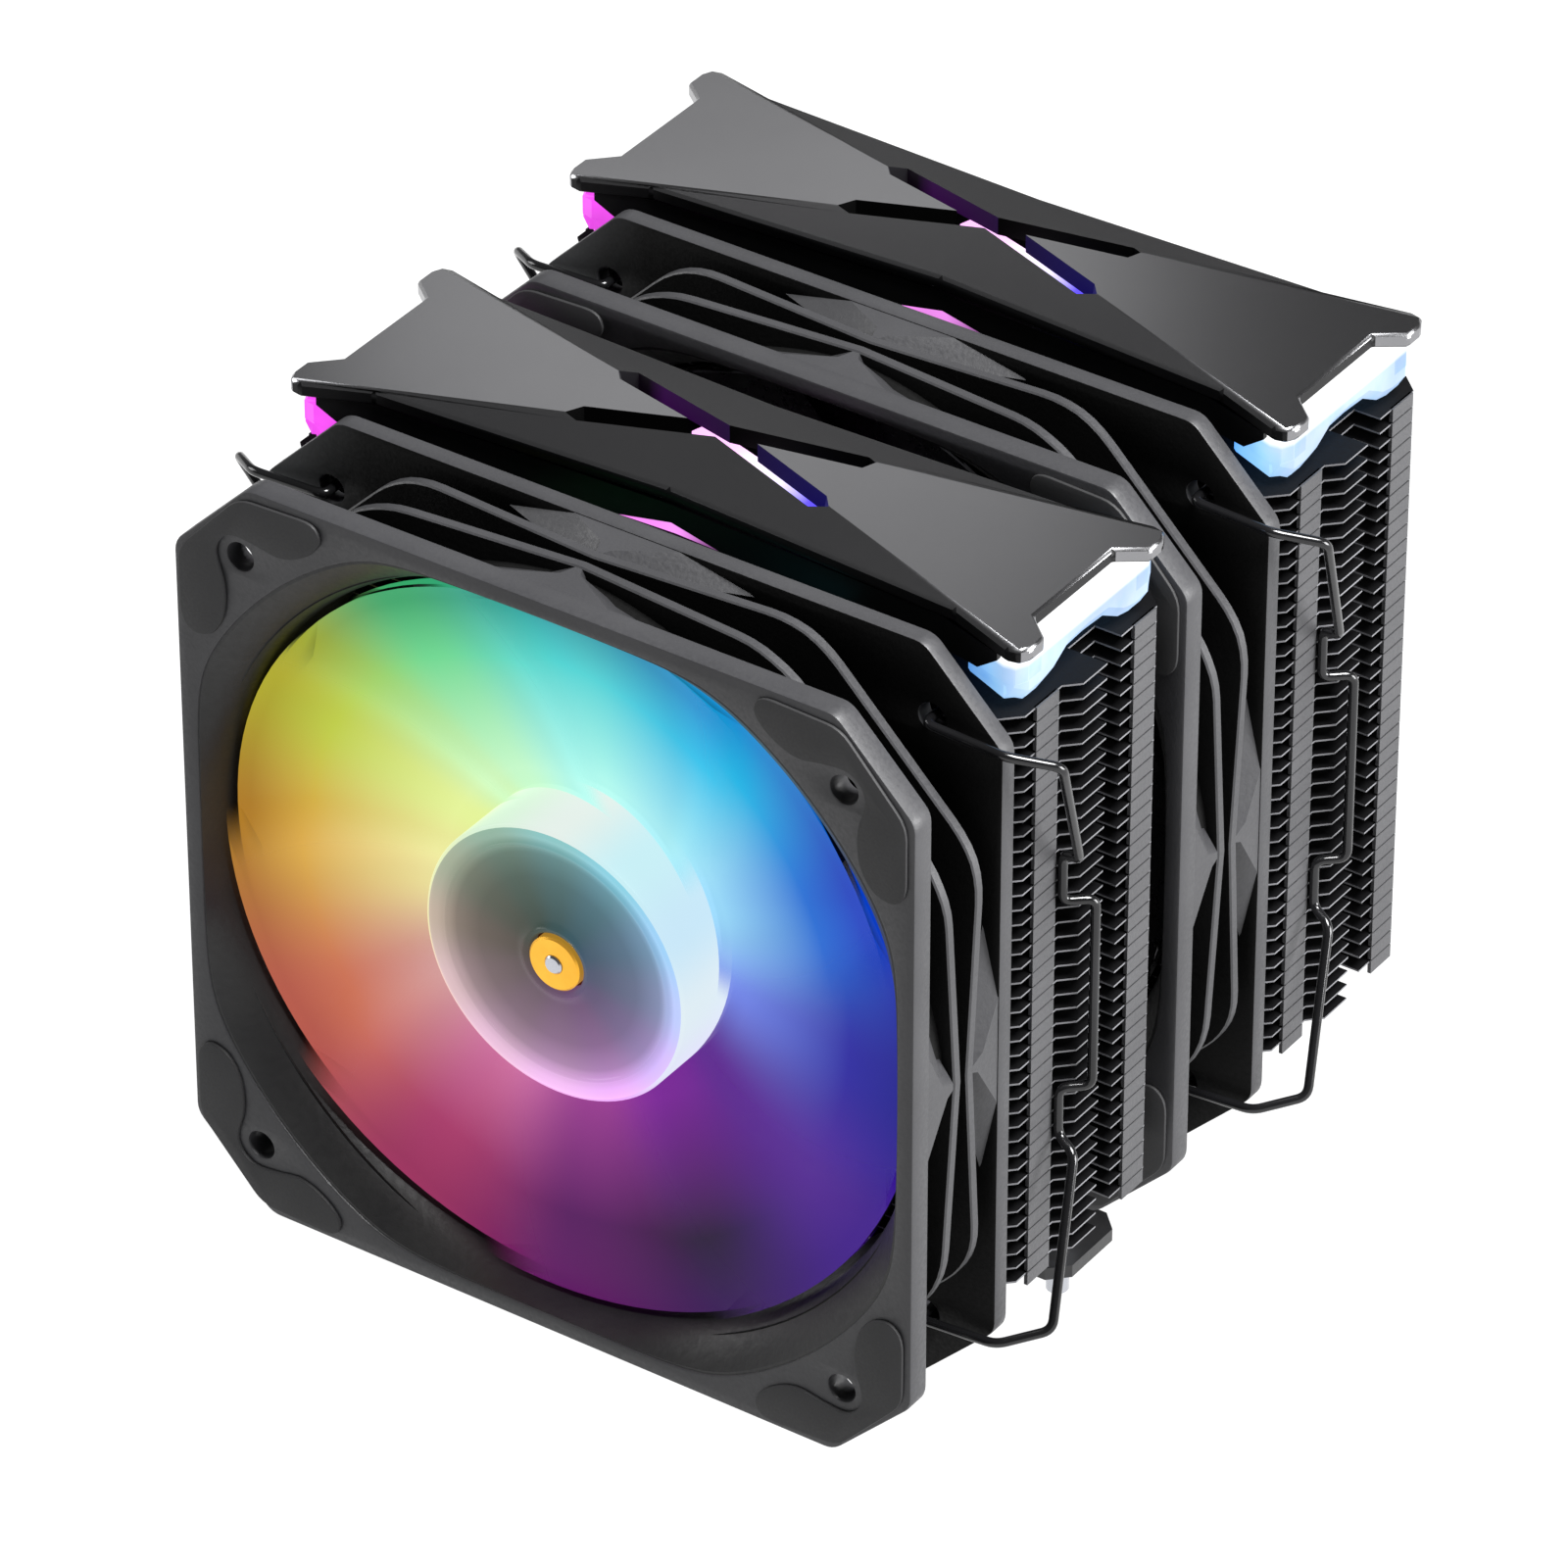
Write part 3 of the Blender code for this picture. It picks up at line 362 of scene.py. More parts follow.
def duct():
    """The duct's wall, a closed profile carried round the axis.  Inside, its radius falls from the mouth's
    edge m as 61.1 + (m - 61.1)(1 - d/9)^2.2 at depth d, and is 61.1 from 9 on; outside it is 62.5."""
    inside, outside, lip, flared = 61.1, 62.5, 0.9, 9
    angle = np.linspace(0, 2 * np.pi, 288, endpoint=False)
    mouth = mouth_radius(angle)
    rows = [(d, inside + (mouth - inside) * (1 - d / flared) ** 2.2) for d in (0.3, 1, 2, 3, 4, 5, 6, 7, 8)]
    rows.insert(0, (rows[0][0], rows[0][1] + lip))
    rows += [(flared, inside), (24.9, inside), (24.9, outside), (4.2, outside)]
    rows.append((4.2, np.maximum(mouth + lip, outside)))
    c, s = np.cos(angle), np.sin(angle)
    return skin(np.array([np.column_stack([r * c, np.full_like(angle, d), r * s]) for d, r in rows]))


def side_ring(middle, growth):
    """A ring round the duct, a blunt octagon outside and round inside.  Its depth is middle at the middle of
    a side and changes by growth for each millimetre away from there, up to 35."""
    path = rounded(octagon(64.35, 29), 7, 6)
    extra = [path[:1]]
    for a, b in zip(path, np.roll(path, -1, 0)):
        count = max(2, int(np.linalg.norm(b - a) / 3) + 1)
        extra.append(a + (b - a) * np.linspace(0, 1, count)[1:, None])
    path = np.concatenate(extra)[:-1]
    outward = path / np.linalg.norm(path, axis=1, keepdims=True)
    inner, soft = outward * 61.8, path - 0.25 * outward
    depth = middle + growth * np.minimum(np.abs(path).min(1), 35)
    rows = [(inner, -0.9), (soft, -0.9), (path, -0.65), (path, 0.65), (soft, 0.9), (inner, 0.9)]
    return skin(np.array([np.column_stack([p[:, 0], depth + d, p[:, 1]]) for p, d in rows]))


def side_bump(turn, rear):
    """The faceted bump in the middle of one side: a flush outline whose flanks fall away to the duct."""
    flush = np.array([(-9.8, 4.0), (-1.2, 9.2), (-0.5, 10.6), (0.6, 10.6), (1.6, 8.0), (9.2, 4.0)])
    foot = np.array([(-24, 3.6), (-7.5, 9.2), (-1.6, 11.0), (1.7, 11.0), (6.2, 9.6), (22, 3.6)])
    if rear:
        flush[:, 1], foot[:, 1] = 26.2 - flush[:, 1], 26.2 - foot[:, 1]
    along, depth = np.moveaxis(np.array([foot, flush]), -1, 0)
    out = np.repeat([[61.5], [64.3]], 6, 1)
    c, s = math.cos(turn), math.sin(turn)
    return skin(np.stack([out * c - along * s, depth, out * s + along * c], -1), closed=False)


def lathe(profile, steps=96):
    """A closed profile of (radius, depth) pairs turned about the fan's axis."""
    angle = np.arange(steps) * 2 * np.pi / steps
    rows = [np.column_stack([r * np.cos(angle), np.full(steps, d), r * np.sin(angle)]) for r, d in profile]
    return skin(np.array(rows))


def strut(degrees):
    """A bar from the motor's seat to the duct."""
    angle = math.radians(degrees)
    c, s = math.cos(angle), math.sin(angle)
    out, along = np.array([(20, -3), (61.6, -2.6), (61.6, 2.6), (20, 3)]).T
    return slab(np.column_stack([out * c - along * s, out * s + along * c]), 22.2, 24.8, 0.5, True)


frame_plastic = finish(
    "black_nylon", paint(46, 46, 48), paint(51, 51, 53), 0.46, grain=(1500, 0.22, 0.09), specular=0.36,
)
mouth_plastic = finish(
    "grained_nylon", paint(30, 30, 31), paint(38, 38, 38), 0.45, grain=(900, 0.35, 0.06), specular=0.3,
)
# Between the flanges the moulding gets painted shade: it is rougher and darker, with painted light making it
# paler towards the left side.
recess_painted_shade = finish(
    "painted_shade_nylon", paint(10, 10, 10), paint(14, 14, 14), 0.6, grain=(1500, 0.3, 0.09), specular=0.1,
)
tree = recess_painted_shade.node_tree
shader = tree.nodes["Principled BSDF"]
shade = shader.inputs["Base Color"].links[0].from_socket
painted_light_left = ranged(tree, coordinate(tree, "X"), -0.061, -0.046, 1, 0)
tree.links.new(blended(tree, painted_light_left, shade, paint(64, 65, 66)), shader.inputs["Base Color"])
rim_outline = rounded(octagon(FLANGE_HALF, FLANGE_CUT), 1.6, 4)
around = np.linspace(0, 2 * np.pi, 288, endpoint=False)
mouth_outline = mouth_radius(around)[:, None] * np.column_stack([np.cos(around), np.sin(around)])
corner_holes = [ring(2.3, 24, (sx * 52.5, sz * 52.5)) for sx in (1, -1) for sz in (1, -1)]
seat_disc = lathe([(4.6, 22), (20.8, 22), (22, 22.8), (22, 24.4), (21.4, 25), (4.6, 25)])
frame_parts = [
    (pierced([rim_outline, mouth_outline, *corner_holes], 0.0, 4.3, 0.42), 0),
    (pierced([rim_outline, ring(61.8, 192), *corner_holes], 22.0, 25.2, 0.3), 0),
    (duct(), 1),
    (side_ring(11.75, -0.085), 0),
    (side_ring(14.85, 0.07), 0),
    (seat_disc, 0),
    *[(side_bump(quarter * math.pi / 2, rear), 0) for quarter in range(4) for rear in (False, True)],
    *[(strut(62 + 90 * k), 0) for k in range(4)],
]
for fan, front in FAN_FRONTS.items():
    look = piece(
        f"{fan}_frame_look", frame_parts, [frame_plastic, mouth_plastic, recess_painted_shade], "cooler",
        [f"{fan}_frame"], (0, front, FAN_AXIS),
    )
    # The painted shade goes on the flanges' inner faces and on the duct's outside.
    for face in look.data.polygons:
        depth = face.center.y * 1000 - front
        outward = Vector((face.center.x, 0, face.center.z - FAN_AXIS / 1000))
        on_flange = abs(face.normal.y) > 0.9 and 4.2 < depth < 22.1
        on_duct = face.material_index == 1 and 4.0 < depth < 24.8 and 0.0617 < outward.length < 0.0627
        if on_flange or (on_duct and face.normal.dot(outward.normalized()) > 0.97):
            face.material_index = 2

# ---- Corner pads ---------------------------------------------------------------------------------
# Soft rubber pads are pressed into each corner of both faces of a frame, so that it doesn't buzz against
# what it is bolted to.
pad_rubber = finish(
    "pad_rubber", paint(38, 38, 39), paint(43, 43, 44), 0.62, grain=(2200, 0.1, 0.05), specular=0.3,
)


def dress(name, material):
    """Gives a fixed part its material."""
    nodes[name].data.materials.clear()
    nodes[name].data.materials.append(material)


pad_outline = rounded([
    (-63.4, 38.6), (-63.4, 50.6), (-52.2, 62.9), (-38.6, 63.4), (-37.3, 60.6), (-39.1, 58), (-42.3, 55.9),
    (-45.4, 55.1), (-49, 55.9), (-53.5, 56.4), (-55.8, 54.6), (-56.6, 52), (-54.9, 46.8), (-55.3, 41.2),
    (-57.6, 37.4), (-61.2, 36.4),
], 2.4, 4)
CORNERS = {"upper_left": (1, 1), "upper_right": (-1, 1), "lower_right": (-1, -1), "lower_left": (1, -1)}
for fan, front in FAN_FRONTS.items():
    for corner, signs in CORNERS.items():
        pad = slab(pad_outline * signs, -0.68, -0.02, 0.28, True)
        piece(
            f"{fan}_{corner}_pad", [(pad, 0)], [pad_rubber], "cooler",
            [f"{fan}_front_pad_{corner}"], (0, front, FAN_AXIS),
        )
        dress(f"{fan}_rear_pad_{corner}", pad_rubber)

# ---- Impellers -----------------------------------------------------------------------------------
# Nine broad swept blades of frosted plastic round a frosted hub, one moulding.  In the front fan, lamps in
# the motor light it, so its colour runs round the rainbow, pale by the hub and darker at the tips; in the
# middle fan it is smoked and stays dark.
NEAR_HUB = [
    (176, 250, 238), (166, 236, 244), (150, 215, 249), (110, 130, 230), (88, 22, 139), (119, 25, 149),
    (160, 60, 150), (215, 120, 170), (210, 160, 160), (240, 230, 157), (231, 247, 154), (199, 251, 204),
]
MID_BLADE = [
    (80, 213, 213), (20, 189, 232), (2, 106, 213), (27, 22, 160), (79, 27, 145), (30, 0, 50),
    (85, 1, 93), (169, 52, 104), (205, 111, 80), (218, 169, 67), (193, 208, 63), (107, 217, 144),
]
BLADE_TIP = [
    (40, 150, 160), (8, 140, 208), (2, 60, 191), (6, 4, 143), (60, 2, 138), (46, 0, 80),
    (91, 0, 95), (154, 38, 90), (182, 86, 67), (174, 121, 31), (174, 168, 25), (54, 167, 105),
]
HUB_SIDE = [
    (228, 238, 232), (200, 238, 244), (200, 230, 246), (222, 236, 242), (224, 228, 246), (236, 170, 252),
    (245, 175, 240), (240, 200, 220), (240, 210, 200), (240, 235, 180), (228, 240, 190), (214, 240, 215),
]
HUB_FACE = [
    (131, 189, 186), (131, 200, 215), (150, 200, 235), (181, 196, 243), (212, 184, 250), (240, 178, 250),
    (244, 189, 240), (230, 188, 212), (215, 184, 185), (188, 170, 151), (158, 168, 142), (138, 172, 150),
]


def colour_wheel(tree, turn, colours):
    """Twelve colours set out round the clock, the last one running back into the first."""
    ramp = add_node(tree, "ValToRGB", {"Fac": turn})
    stops = ramp.color_ramp
    stops.interpolation = "EASE"
    stops.elements[0].color = stops.elements[1].color = paint(*colours[0])
    for hour, colour in enumerate(colours[1:], 1):
        stops.elements.new(hour / 12).color = paint(*colour)
    return ramp.outputs["Color"]


def polar(tree):
    """The turn about the fan's axis, from 0 to 1 clockwise from the top, and the distance from the axis."""
    place = add_node(tree, "TexCoord").outputs["Object"]
    axis = {0: place, 1: (0, 0, FAN_AXIS / 1000)}
    moved = add_node(tree, "VectorMath", axis, operation="SUBTRACT").outputs[0]
    flat = add_node(tree, "VectorMath", {0: moved, 1: (1, 0, 1)}, operation="MULTIPLY").outputs[0]
    apart = add_node(tree, "SeparateXYZ", {0: moved}).outputs
    angle = add_node(tree, "Math", {0: apart["X"], 1: apart["Z"]}, operation="ARCTAN2").outputs[0]
    turns = add_node(tree, "Math", {0: angle, 1: 1 / (2 * math.pi)}, operation="MULTIPLY").outputs[0]
    turn = add_node(tree, "Math", {0: turns}, operation="FRACT").outputs[0]
    return turn, add_node(tree, "VectorMath", {0: flat}, operation="LENGTH").outputs["Value"]


def glowing(name, roughness, strength):
    """A frosted material that gives off light, with its tree and shader."""
    material = bpy.data.materials.new(name)
    material.use_nodes = True
    tree = material.node_tree
    shader = tree.nodes["Principled BSDF"]
    shader.inputs["Base Color"].default_value = (0.02, 0.02, 0.022, 1)
    shader.inputs["Roughness"].default_value = roughness
    shader.inputs["Specular IOR Level"].default_value = 0.12
    shader.inputs["Emission Strength"].default_value = strength
    frost = noise(tree, 900, 3)
    bump = add_node(tree, "Bump", {"Strength": 0.06, "Distance": 0.0002, "Height": frost})
    tree.links.new(bump.outputs[0], shader.inputs["Normal"])
    return material, tree, shader


# The blades fade out towards both edges, so that the colours run on from one to the next, and only their
# front faces give off light.
blade_glow, tree, shader = glowing("lit_frosted_blades", 0.5, 1.0)
turn, distance = polar(tree)
inner = blended(
    tree, ranged(tree, distance, 0.027, 0.048, 0, 1),
    colour_wheel(tree, turn, NEAR_HUB), colour_wheel(tree, turn, MID_BLADE),
)
whole = blended(tree, ranged(tree, distance, 0.048, 0.058, 0, 1), inner, colour_wheel(tree, turn, BLADE_TIP))
lit_face = add_node(tree, "Attribute", attribute_name="lit").outputs["Fac"]
tree.links.new(blended(tree, 1.0, whole, lit_face, "MULTIPLY"), shader.inputs["Emission Color"])
across = add_node(tree, "Attribute", attribute_name="across").outputs["Fac"]
veil = add_node(tree, "ValToRGB", {"Fac": across})
veil.color_ramp.interpolation = "EASE"
veil.color_ramp.elements[0].color = (0.95, 0.95, 0.95, 1)
veil.color_ramp.elements[1].color = (0, 0, 0, 1)
veil.color_ramp.elements.new(0.68).color = (0.92, 0.92, 0.92, 1)
tree.links.new(veil.outputs["Color"], shader.inputs["Alpha"])
smoked = finish(
    "smoked_blades", paint(22, 22, 23), paint(28, 28, 30), 0.3, grain=(900, 0.05, 0.05), specular=0.3,
)

hub_side_glow, tree, shader = glowing("lit_frosted_hub", 0.35, 1.0)
tree.links.new(colour_wheel(tree, polar(tree)[0], HUB_SIDE), shader.inputs["Emission Color"])

hub_face_glow, tree, shader = glowing("smoked_hub_face", 0.25, 1.0)
turn, distance = polar(tree)
fade = add_node(tree, "ValToRGB", {"Fac": ranged(tree, distance, 0.0, 0.024, 0, 1)})
fade.color_ramp.elements[0].color = (0.10, 0.10, 0.12, 1)
fade.color_ramp.elements[1].color = (1.25, 1.25, 1.25, 1)
for place, level in ((0.33, 0.17), (0.58, 0.26), (0.75, 0.44), (0.875, 1.0)):
    fade.color_ramp.elements.new(place).color = (level, level, level * 1.04, 1)
face_colour = blended(tree, 1.0, colour_wheel(tree, turn, HUB_FACE), fade.outputs["Color"], "MULTIPLY")
tree.links.new(face_colour, shader.inputs["Emission Color"])


BLADES, BLADE_ROWS = 9, 26
FRONT_STEPS = np.linspace(-1, 1, 25)
REAR_STEPS = FRONT_STEPS[-2:0:-1]


def blade(index):
    """One blade, a closed section carried from the hub to the tip, which rakes forwards.  At t of its length
    and s across it, from -1 to 1, it stands at turn 40 index + 14 t^1.5 + (44 - 6 t) s degrees and at depth
    15.4 - 8.6 t^0.7 + (3.6 - t) s + 0.6(1 - s^2); its thickness is 1.2 (1 - 0.8 s^2)."""
    root, tip = 22, 60.1
    t = np.linspace(0, 1, BLADE_ROWS)[:, None]
    s = np.concatenate([FRONT_STEPS, REAR_STEPS])
    face = np.concatenate([np.ones_like(FRONT_STEPS), -np.ones_like(REAR_STEPS)])
    face[[0, len(FRONT_STEPS) - 1]] = 0
    radius = root + (tip - root) * t + 0 * s
    angle = 2 * math.pi * index / BLADES + math.radians(14) * t**1.5 + np.radians(44 - 6 * t) * s
    depth = 15.4 - 8.6 * t**0.7 + (3.6 - t) * s + 0.6 * (1 - s * s) - face * 0.6 * (1 - 0.8 * s * s)
    return skin(np.stack([radius * np.cos(angle), depth, radius * np.sin(angle)], -1), closed=False)


hub_shell = lathe([
    (4.9, 3.6), (5.2, 3.35), (5.7, 3.3), (6.0, 3.7), (7.5, 4.0), (18.6, 3.9), (19.2, 3.75), (19.4, 3.35),
    (19.75, 3.3), (20.0, 3.55), (20.6, 3.5), (21.4, 3.05), (22.0, 2.95), (22.5, 3.1), (22.85, 3.5),
    (22.85, 5.5), (21.4, 5.5), (4.9, 5.5),
])
hub_wall = lathe([
    (22.4, 3.05), (22.75, 3.2), (23, 3.6), (23, 21.2), (22.8, 21.5), (21.5, 21.5), (21.4, 5.6), (22.3, 5.6),
])
FAN_LOOKS = {
    "front_fan": [blade_glow, hub_face_glow, hub_side_glow],
    "middle_fan": [smoked, smoked, smoked],
}
# Each point of a blade carries how far from its middle line it lies, half as much again at the back, and
# whether it is lit.
across_blade = np.abs(np.concatenate([FRONT_STEPS, 1.5 * REAR_STEPS]))
lit_blade = np.concatenate([np.ones_like(FRONT_STEPS), np.zeros_like(REAR_STEPS)])
for fan, front in FAN_FRONTS.items():
    look = piece(
        f"{fan}_impeller_look", [(hub_shell, 1), (hub_wall, 2), *[(blade(k), 0) for k in range(BLADES)]],
        FAN_LOOKS[fan], fan.replace("_fan", "_rotor"),
        [f"{fan}_impeller"], (0, front, FAN_AXIS), 50,
    )
    hub_points = len(hub_shell[0]) + len(hub_wall[0])
    for attribute, section in (("across", across_blade), ("lit", lit_blade)):
        values = np.concatenate([np.zeros(hub_points), np.tile(section, BLADE_ROWS * BLADES)])
        look.data.attributes.new(attribute, "FLOAT", "POINT").data.foreach_set("value", values)

# The hub turns on a steel shaft pressed into a brass bush; both show in the middle of the hub's face.
brass = finish("brass_with_painted_glow", paint(214, 164, 62), paint(196, 142, 44), 0.34, 1.0, grain=(700, 0.12, 0.08))
# The brass gets a painted glow in its own colour, standing in for light falling on it, though it gives off
# none.
brass.node_tree.nodes["Principled BSDF"].inputs["Emission Color"].default_value = paint(205, 150, 50)
brass.node_tree.nodes["Principled BSDF"].inputs["Emission Strength"].default_value = 0.55
steel = finish("ground_steel", paint(196, 198, 204), paint(176, 178, 184), 0.25, 1.0, grain=(900, 0.05, 0.05))
bush = lathe([(1.6, 2.95), (4.15, 2.95), (4.45, 3.2), (4.45, 5.1), (1.6, 5.1)])
shaft = lathe([(0.001, 2.6), (1.25, 2.6), (1.5, 2.85), (1.5, 23.6), (0.001, 23.6)], 48)
magnet = finish("ferrite_magnet", paint(40, 40, 42), paint(52, 52, 55), 0.6, 0.2)
winding = finish("copper_winding", paint(184, 112, 60), paint(150, 80, 38), 0.35, 1.0, grain=(500, 0.5, 0.1))
board = finish("black_board", paint(13, 15, 15), paint(18, 20, 20), 0.5, grain=(500, 0.1, 0.1), specular=0.2)
for fan, front in FAN_FRONTS.items():
    rotor = fan.replace("_fan", "_rotor")
    at = (0, front, FAN_AXIS)
    piece(f"{fan}_bush_look", [(bush, 0)], [brass], rotor, [f"{fan}_hub_bushing"], at)
    piece(f"{fan}_shaft_look", [(shaft, 0)], [steel], rotor, [f"{fan}_rotor_shaft"], at)
    dress(f"{fan}_magnet_ring", magnet)
    dress(f"{fan}_stator", winding)
    dress(f"{fan}_circuit_board", board)
    dress(f"{fan}_bearing_sleeve", brass)

# ---- Fin towers ----------------------------------------------------------------------------------
# Each tower is a stack of thin black fins pressed onto the pipes.  Tabs folded down at the sides of every
# fin nearly reach the next one, and line up into two pale grained strips on either side.
TOWERS = {"front": -35.0, "rear": 35.0}
FIN_COUNT, FIN_PITCH, FIN_THICK, FIN_FLOOR = 40, 2.55, 0.3, 46.2
fin_side = [
    (60.5, -20), (63.5, -17), (63.5, -7.6), (65.7, -5.4), (65.7, 0.8), (59, 0.8), (59, 7.9), (63.5, 7.9),
    (63.5, 17.2), (60.5, 20),
]
fin_plan = np.array(fin_side + [(-x, y) for x, y in reversed(fin_side)])
fin_black = finish(
    "black_fin_coating", paint(7, 7, 8), paint(10, 10, 11), 0.55, grain=(1200, 0.1, 0.08), specular=0.08,
)
tab_grey = finish(
    "grained_tab_coating", paint(58, 58, 60), paint(64, 64, 66), 0.55, 0.2, grain=(1500, 0.5, 0.1),
)
# The fins' side faces get a paler grey: a painted highlight where the light catches their edges.
fin_edge_painted_highlight = finish("fin_edge_painted_light", paint(84, 84, 87), paint(104, 104, 108), 0.4, grain=(1200, 0.1, 0.08))


def box(low, high):
    """A box between two corners."""
    (x, y, z), (u, v, w) = low, high
    return slab([(x, y), (u, y), (u, v), (x, v)], z, w)


fin_parts = []
for level in FIN_FLOOR + FIN_PITCH * np.arange(FIN_COUNT):
    top = level + FIN_THICK
    fin_parts.append((slab(fin_plan, level, top), [2] * len(fin_plan) + [0, 0]))
    for side in (1, -1):
        near, far = sorted((side * 63.2, side * 63.8))
        for middle in (-11.6, 13.8):
            tab = box((near, middle - 2.85, level - 1.95), (far, middle + 2.85, top))
            fin_parts.append((tab, 1))
for tower, y in TOWERS.items():
    piece(
        f"{tower}_fins_look", fin_parts, [fin_black, tab_grey, fin_edge_painted_highlight], "cooler",
        [f"{tower}_fin_stack"], (0, y, 0), 20,
    )

# ---- Heat pipes ----------------------------------------------------------------------------------
# Six plated copper pipes pass through the base side by side and fan out to the fins of both towers.
pipe_plating = finish(
    "black_nickel_plating", paint(60, 60, 64), paint(72, 72, 76), 0.22, 1.0, grain=(150, 0.03, 0.04),
)


def rod(path, radius, sides):
    """A round bar along a path of points, its sections kept from twisting, with a flat face at each end."""
    path = np.array(path, float)
    tangent = np.gradient(path, axis=0)
    tangent /= np.linalg.norm(tangent, axis=1, keepdims=True)
    across = np.cross(tangent[0], (0.31, 0.87, 0.42))
    angle = np.arange(sides) * 2 * np.pi / sides
    rows = []
    for point, along in zip(path, tangent):
        across = across - along * (across @ along)
        across /= np.linalg.norm(across)
        other = np.cross(along, across)
        rows.append(point + radius * (np.outer(np.cos(angle), across) + np.outer(np.sin(angle), other)))
    return skin(np.array(rows), closed=False)


def pipe_path(index):
    """A pipe's middle line: a straight leg in each tower, a cubic curve into the base from both, pulled 24
    down at the leg and 12 out at the base, and a straight run through the base."""
    rank = index - 2.5
    stagger = 5.0 if index % 2 else -5.0
    t = np.linspace(0, 1, 24)[:, None]
    halves = []
    for side in (-1, 1):
        leg = np.array([rank * 18, side * 35 + stagger, 42.0])
        foot = np.array([rank * 6.9, side * 21.5, 5.4])
        down, out = leg - (0, 0, 24), foot + (0, side * 12, 0)
        bend = (1 - t) ** 3 * leg + 3 * (1 - t) ** 2 * t * down + 3 * (1 - t) * t**2 * out + t**3 * foot
        halves.append(np.concatenate([[leg + (0, 0, 106.5)], bend]))
    return np.concatenate([halves[0], halves[1][::-1]])


for index in range(6):
    piece(
        f"heat_pipe_{index + 1}_look", [(rod(pipe_path(index), 3.0, 24), 0)], [pipe_plating], "cooler",
        [f"heat_pipe_{index + 1}"],
    )

# ---- Covers --------------------------------------------------------------------------------------
# A satin grey metal cover caps each tower.  Its top is four flat facets that meet along the diagonals, where
# two narrow slits cross; each end is notched between two horns.
cover_metal = finish(
    "satin_grey_metal", (0.27, 0.27, 0.28, 1), (0.29, 0.29, 0.30, 1), 0.22, 1.0, grain=(1800, 0.0, 0.01),
    patches=25,
)
skirt_and_notch_shade_black = finish("black_apron_and_notch_painted_shade", paint(10, 10, 11), paint(14, 14, 15), 0.4, specular=0.15)
# The slits' metal walls are painted: one slit's with shade, the other's with violet light that glows though
# the wall is no lamp.
slit_wall_shade_paint = finish("slit_wall_painted_shade", paint(3, 3, 3), paint(4, 4, 4), 0.6, specular=0.05)
slit_wall_violet_paint, tree, shader = glowing("slit_wall_painted_violet_light", 0.5, 1.0)
slit_painted_light_ramp = ramped(tree, ranged(tree, coordinate(tree, "X"), -0.0225, 0.0225, 0, 1), (
    (0, (2, 0, 3)), (0.1, (6, 0, 8)), (0.18, (46, 4, 62)), (0.45, (34, 4, 52)), (0.6, (18, 2, 52)),
    (1, (14, 8, 80)),
))
tree.links.new(slit_painted_light_ramp, shader.inputs["Emission Color"])
COVER_END, COVER_WIDE, COVER_LEVEL, COVER_RISE = 64.4, 19.2, 157.79, 4.3
DIAGONAL = np.array([COVER_END, COVER_WIDE]) / math.hypot(COVER_END, COVER_WIDE)


def cover_quarter(end, wide):
    """The right end of a cover's outline from its rear diagonal corner to its front one."""
    return [
        (end * 0.985, wide * 0.985), (end, wide - 2.2), (end, wide - 5.5), (end - 4.1, wide - 9.0),
        (end - 4.1, 9.0 - wide), (end, 5.5 - wide), (end, 2.2 - wide), (end * 0.985, -wide * 0.985),
    ]


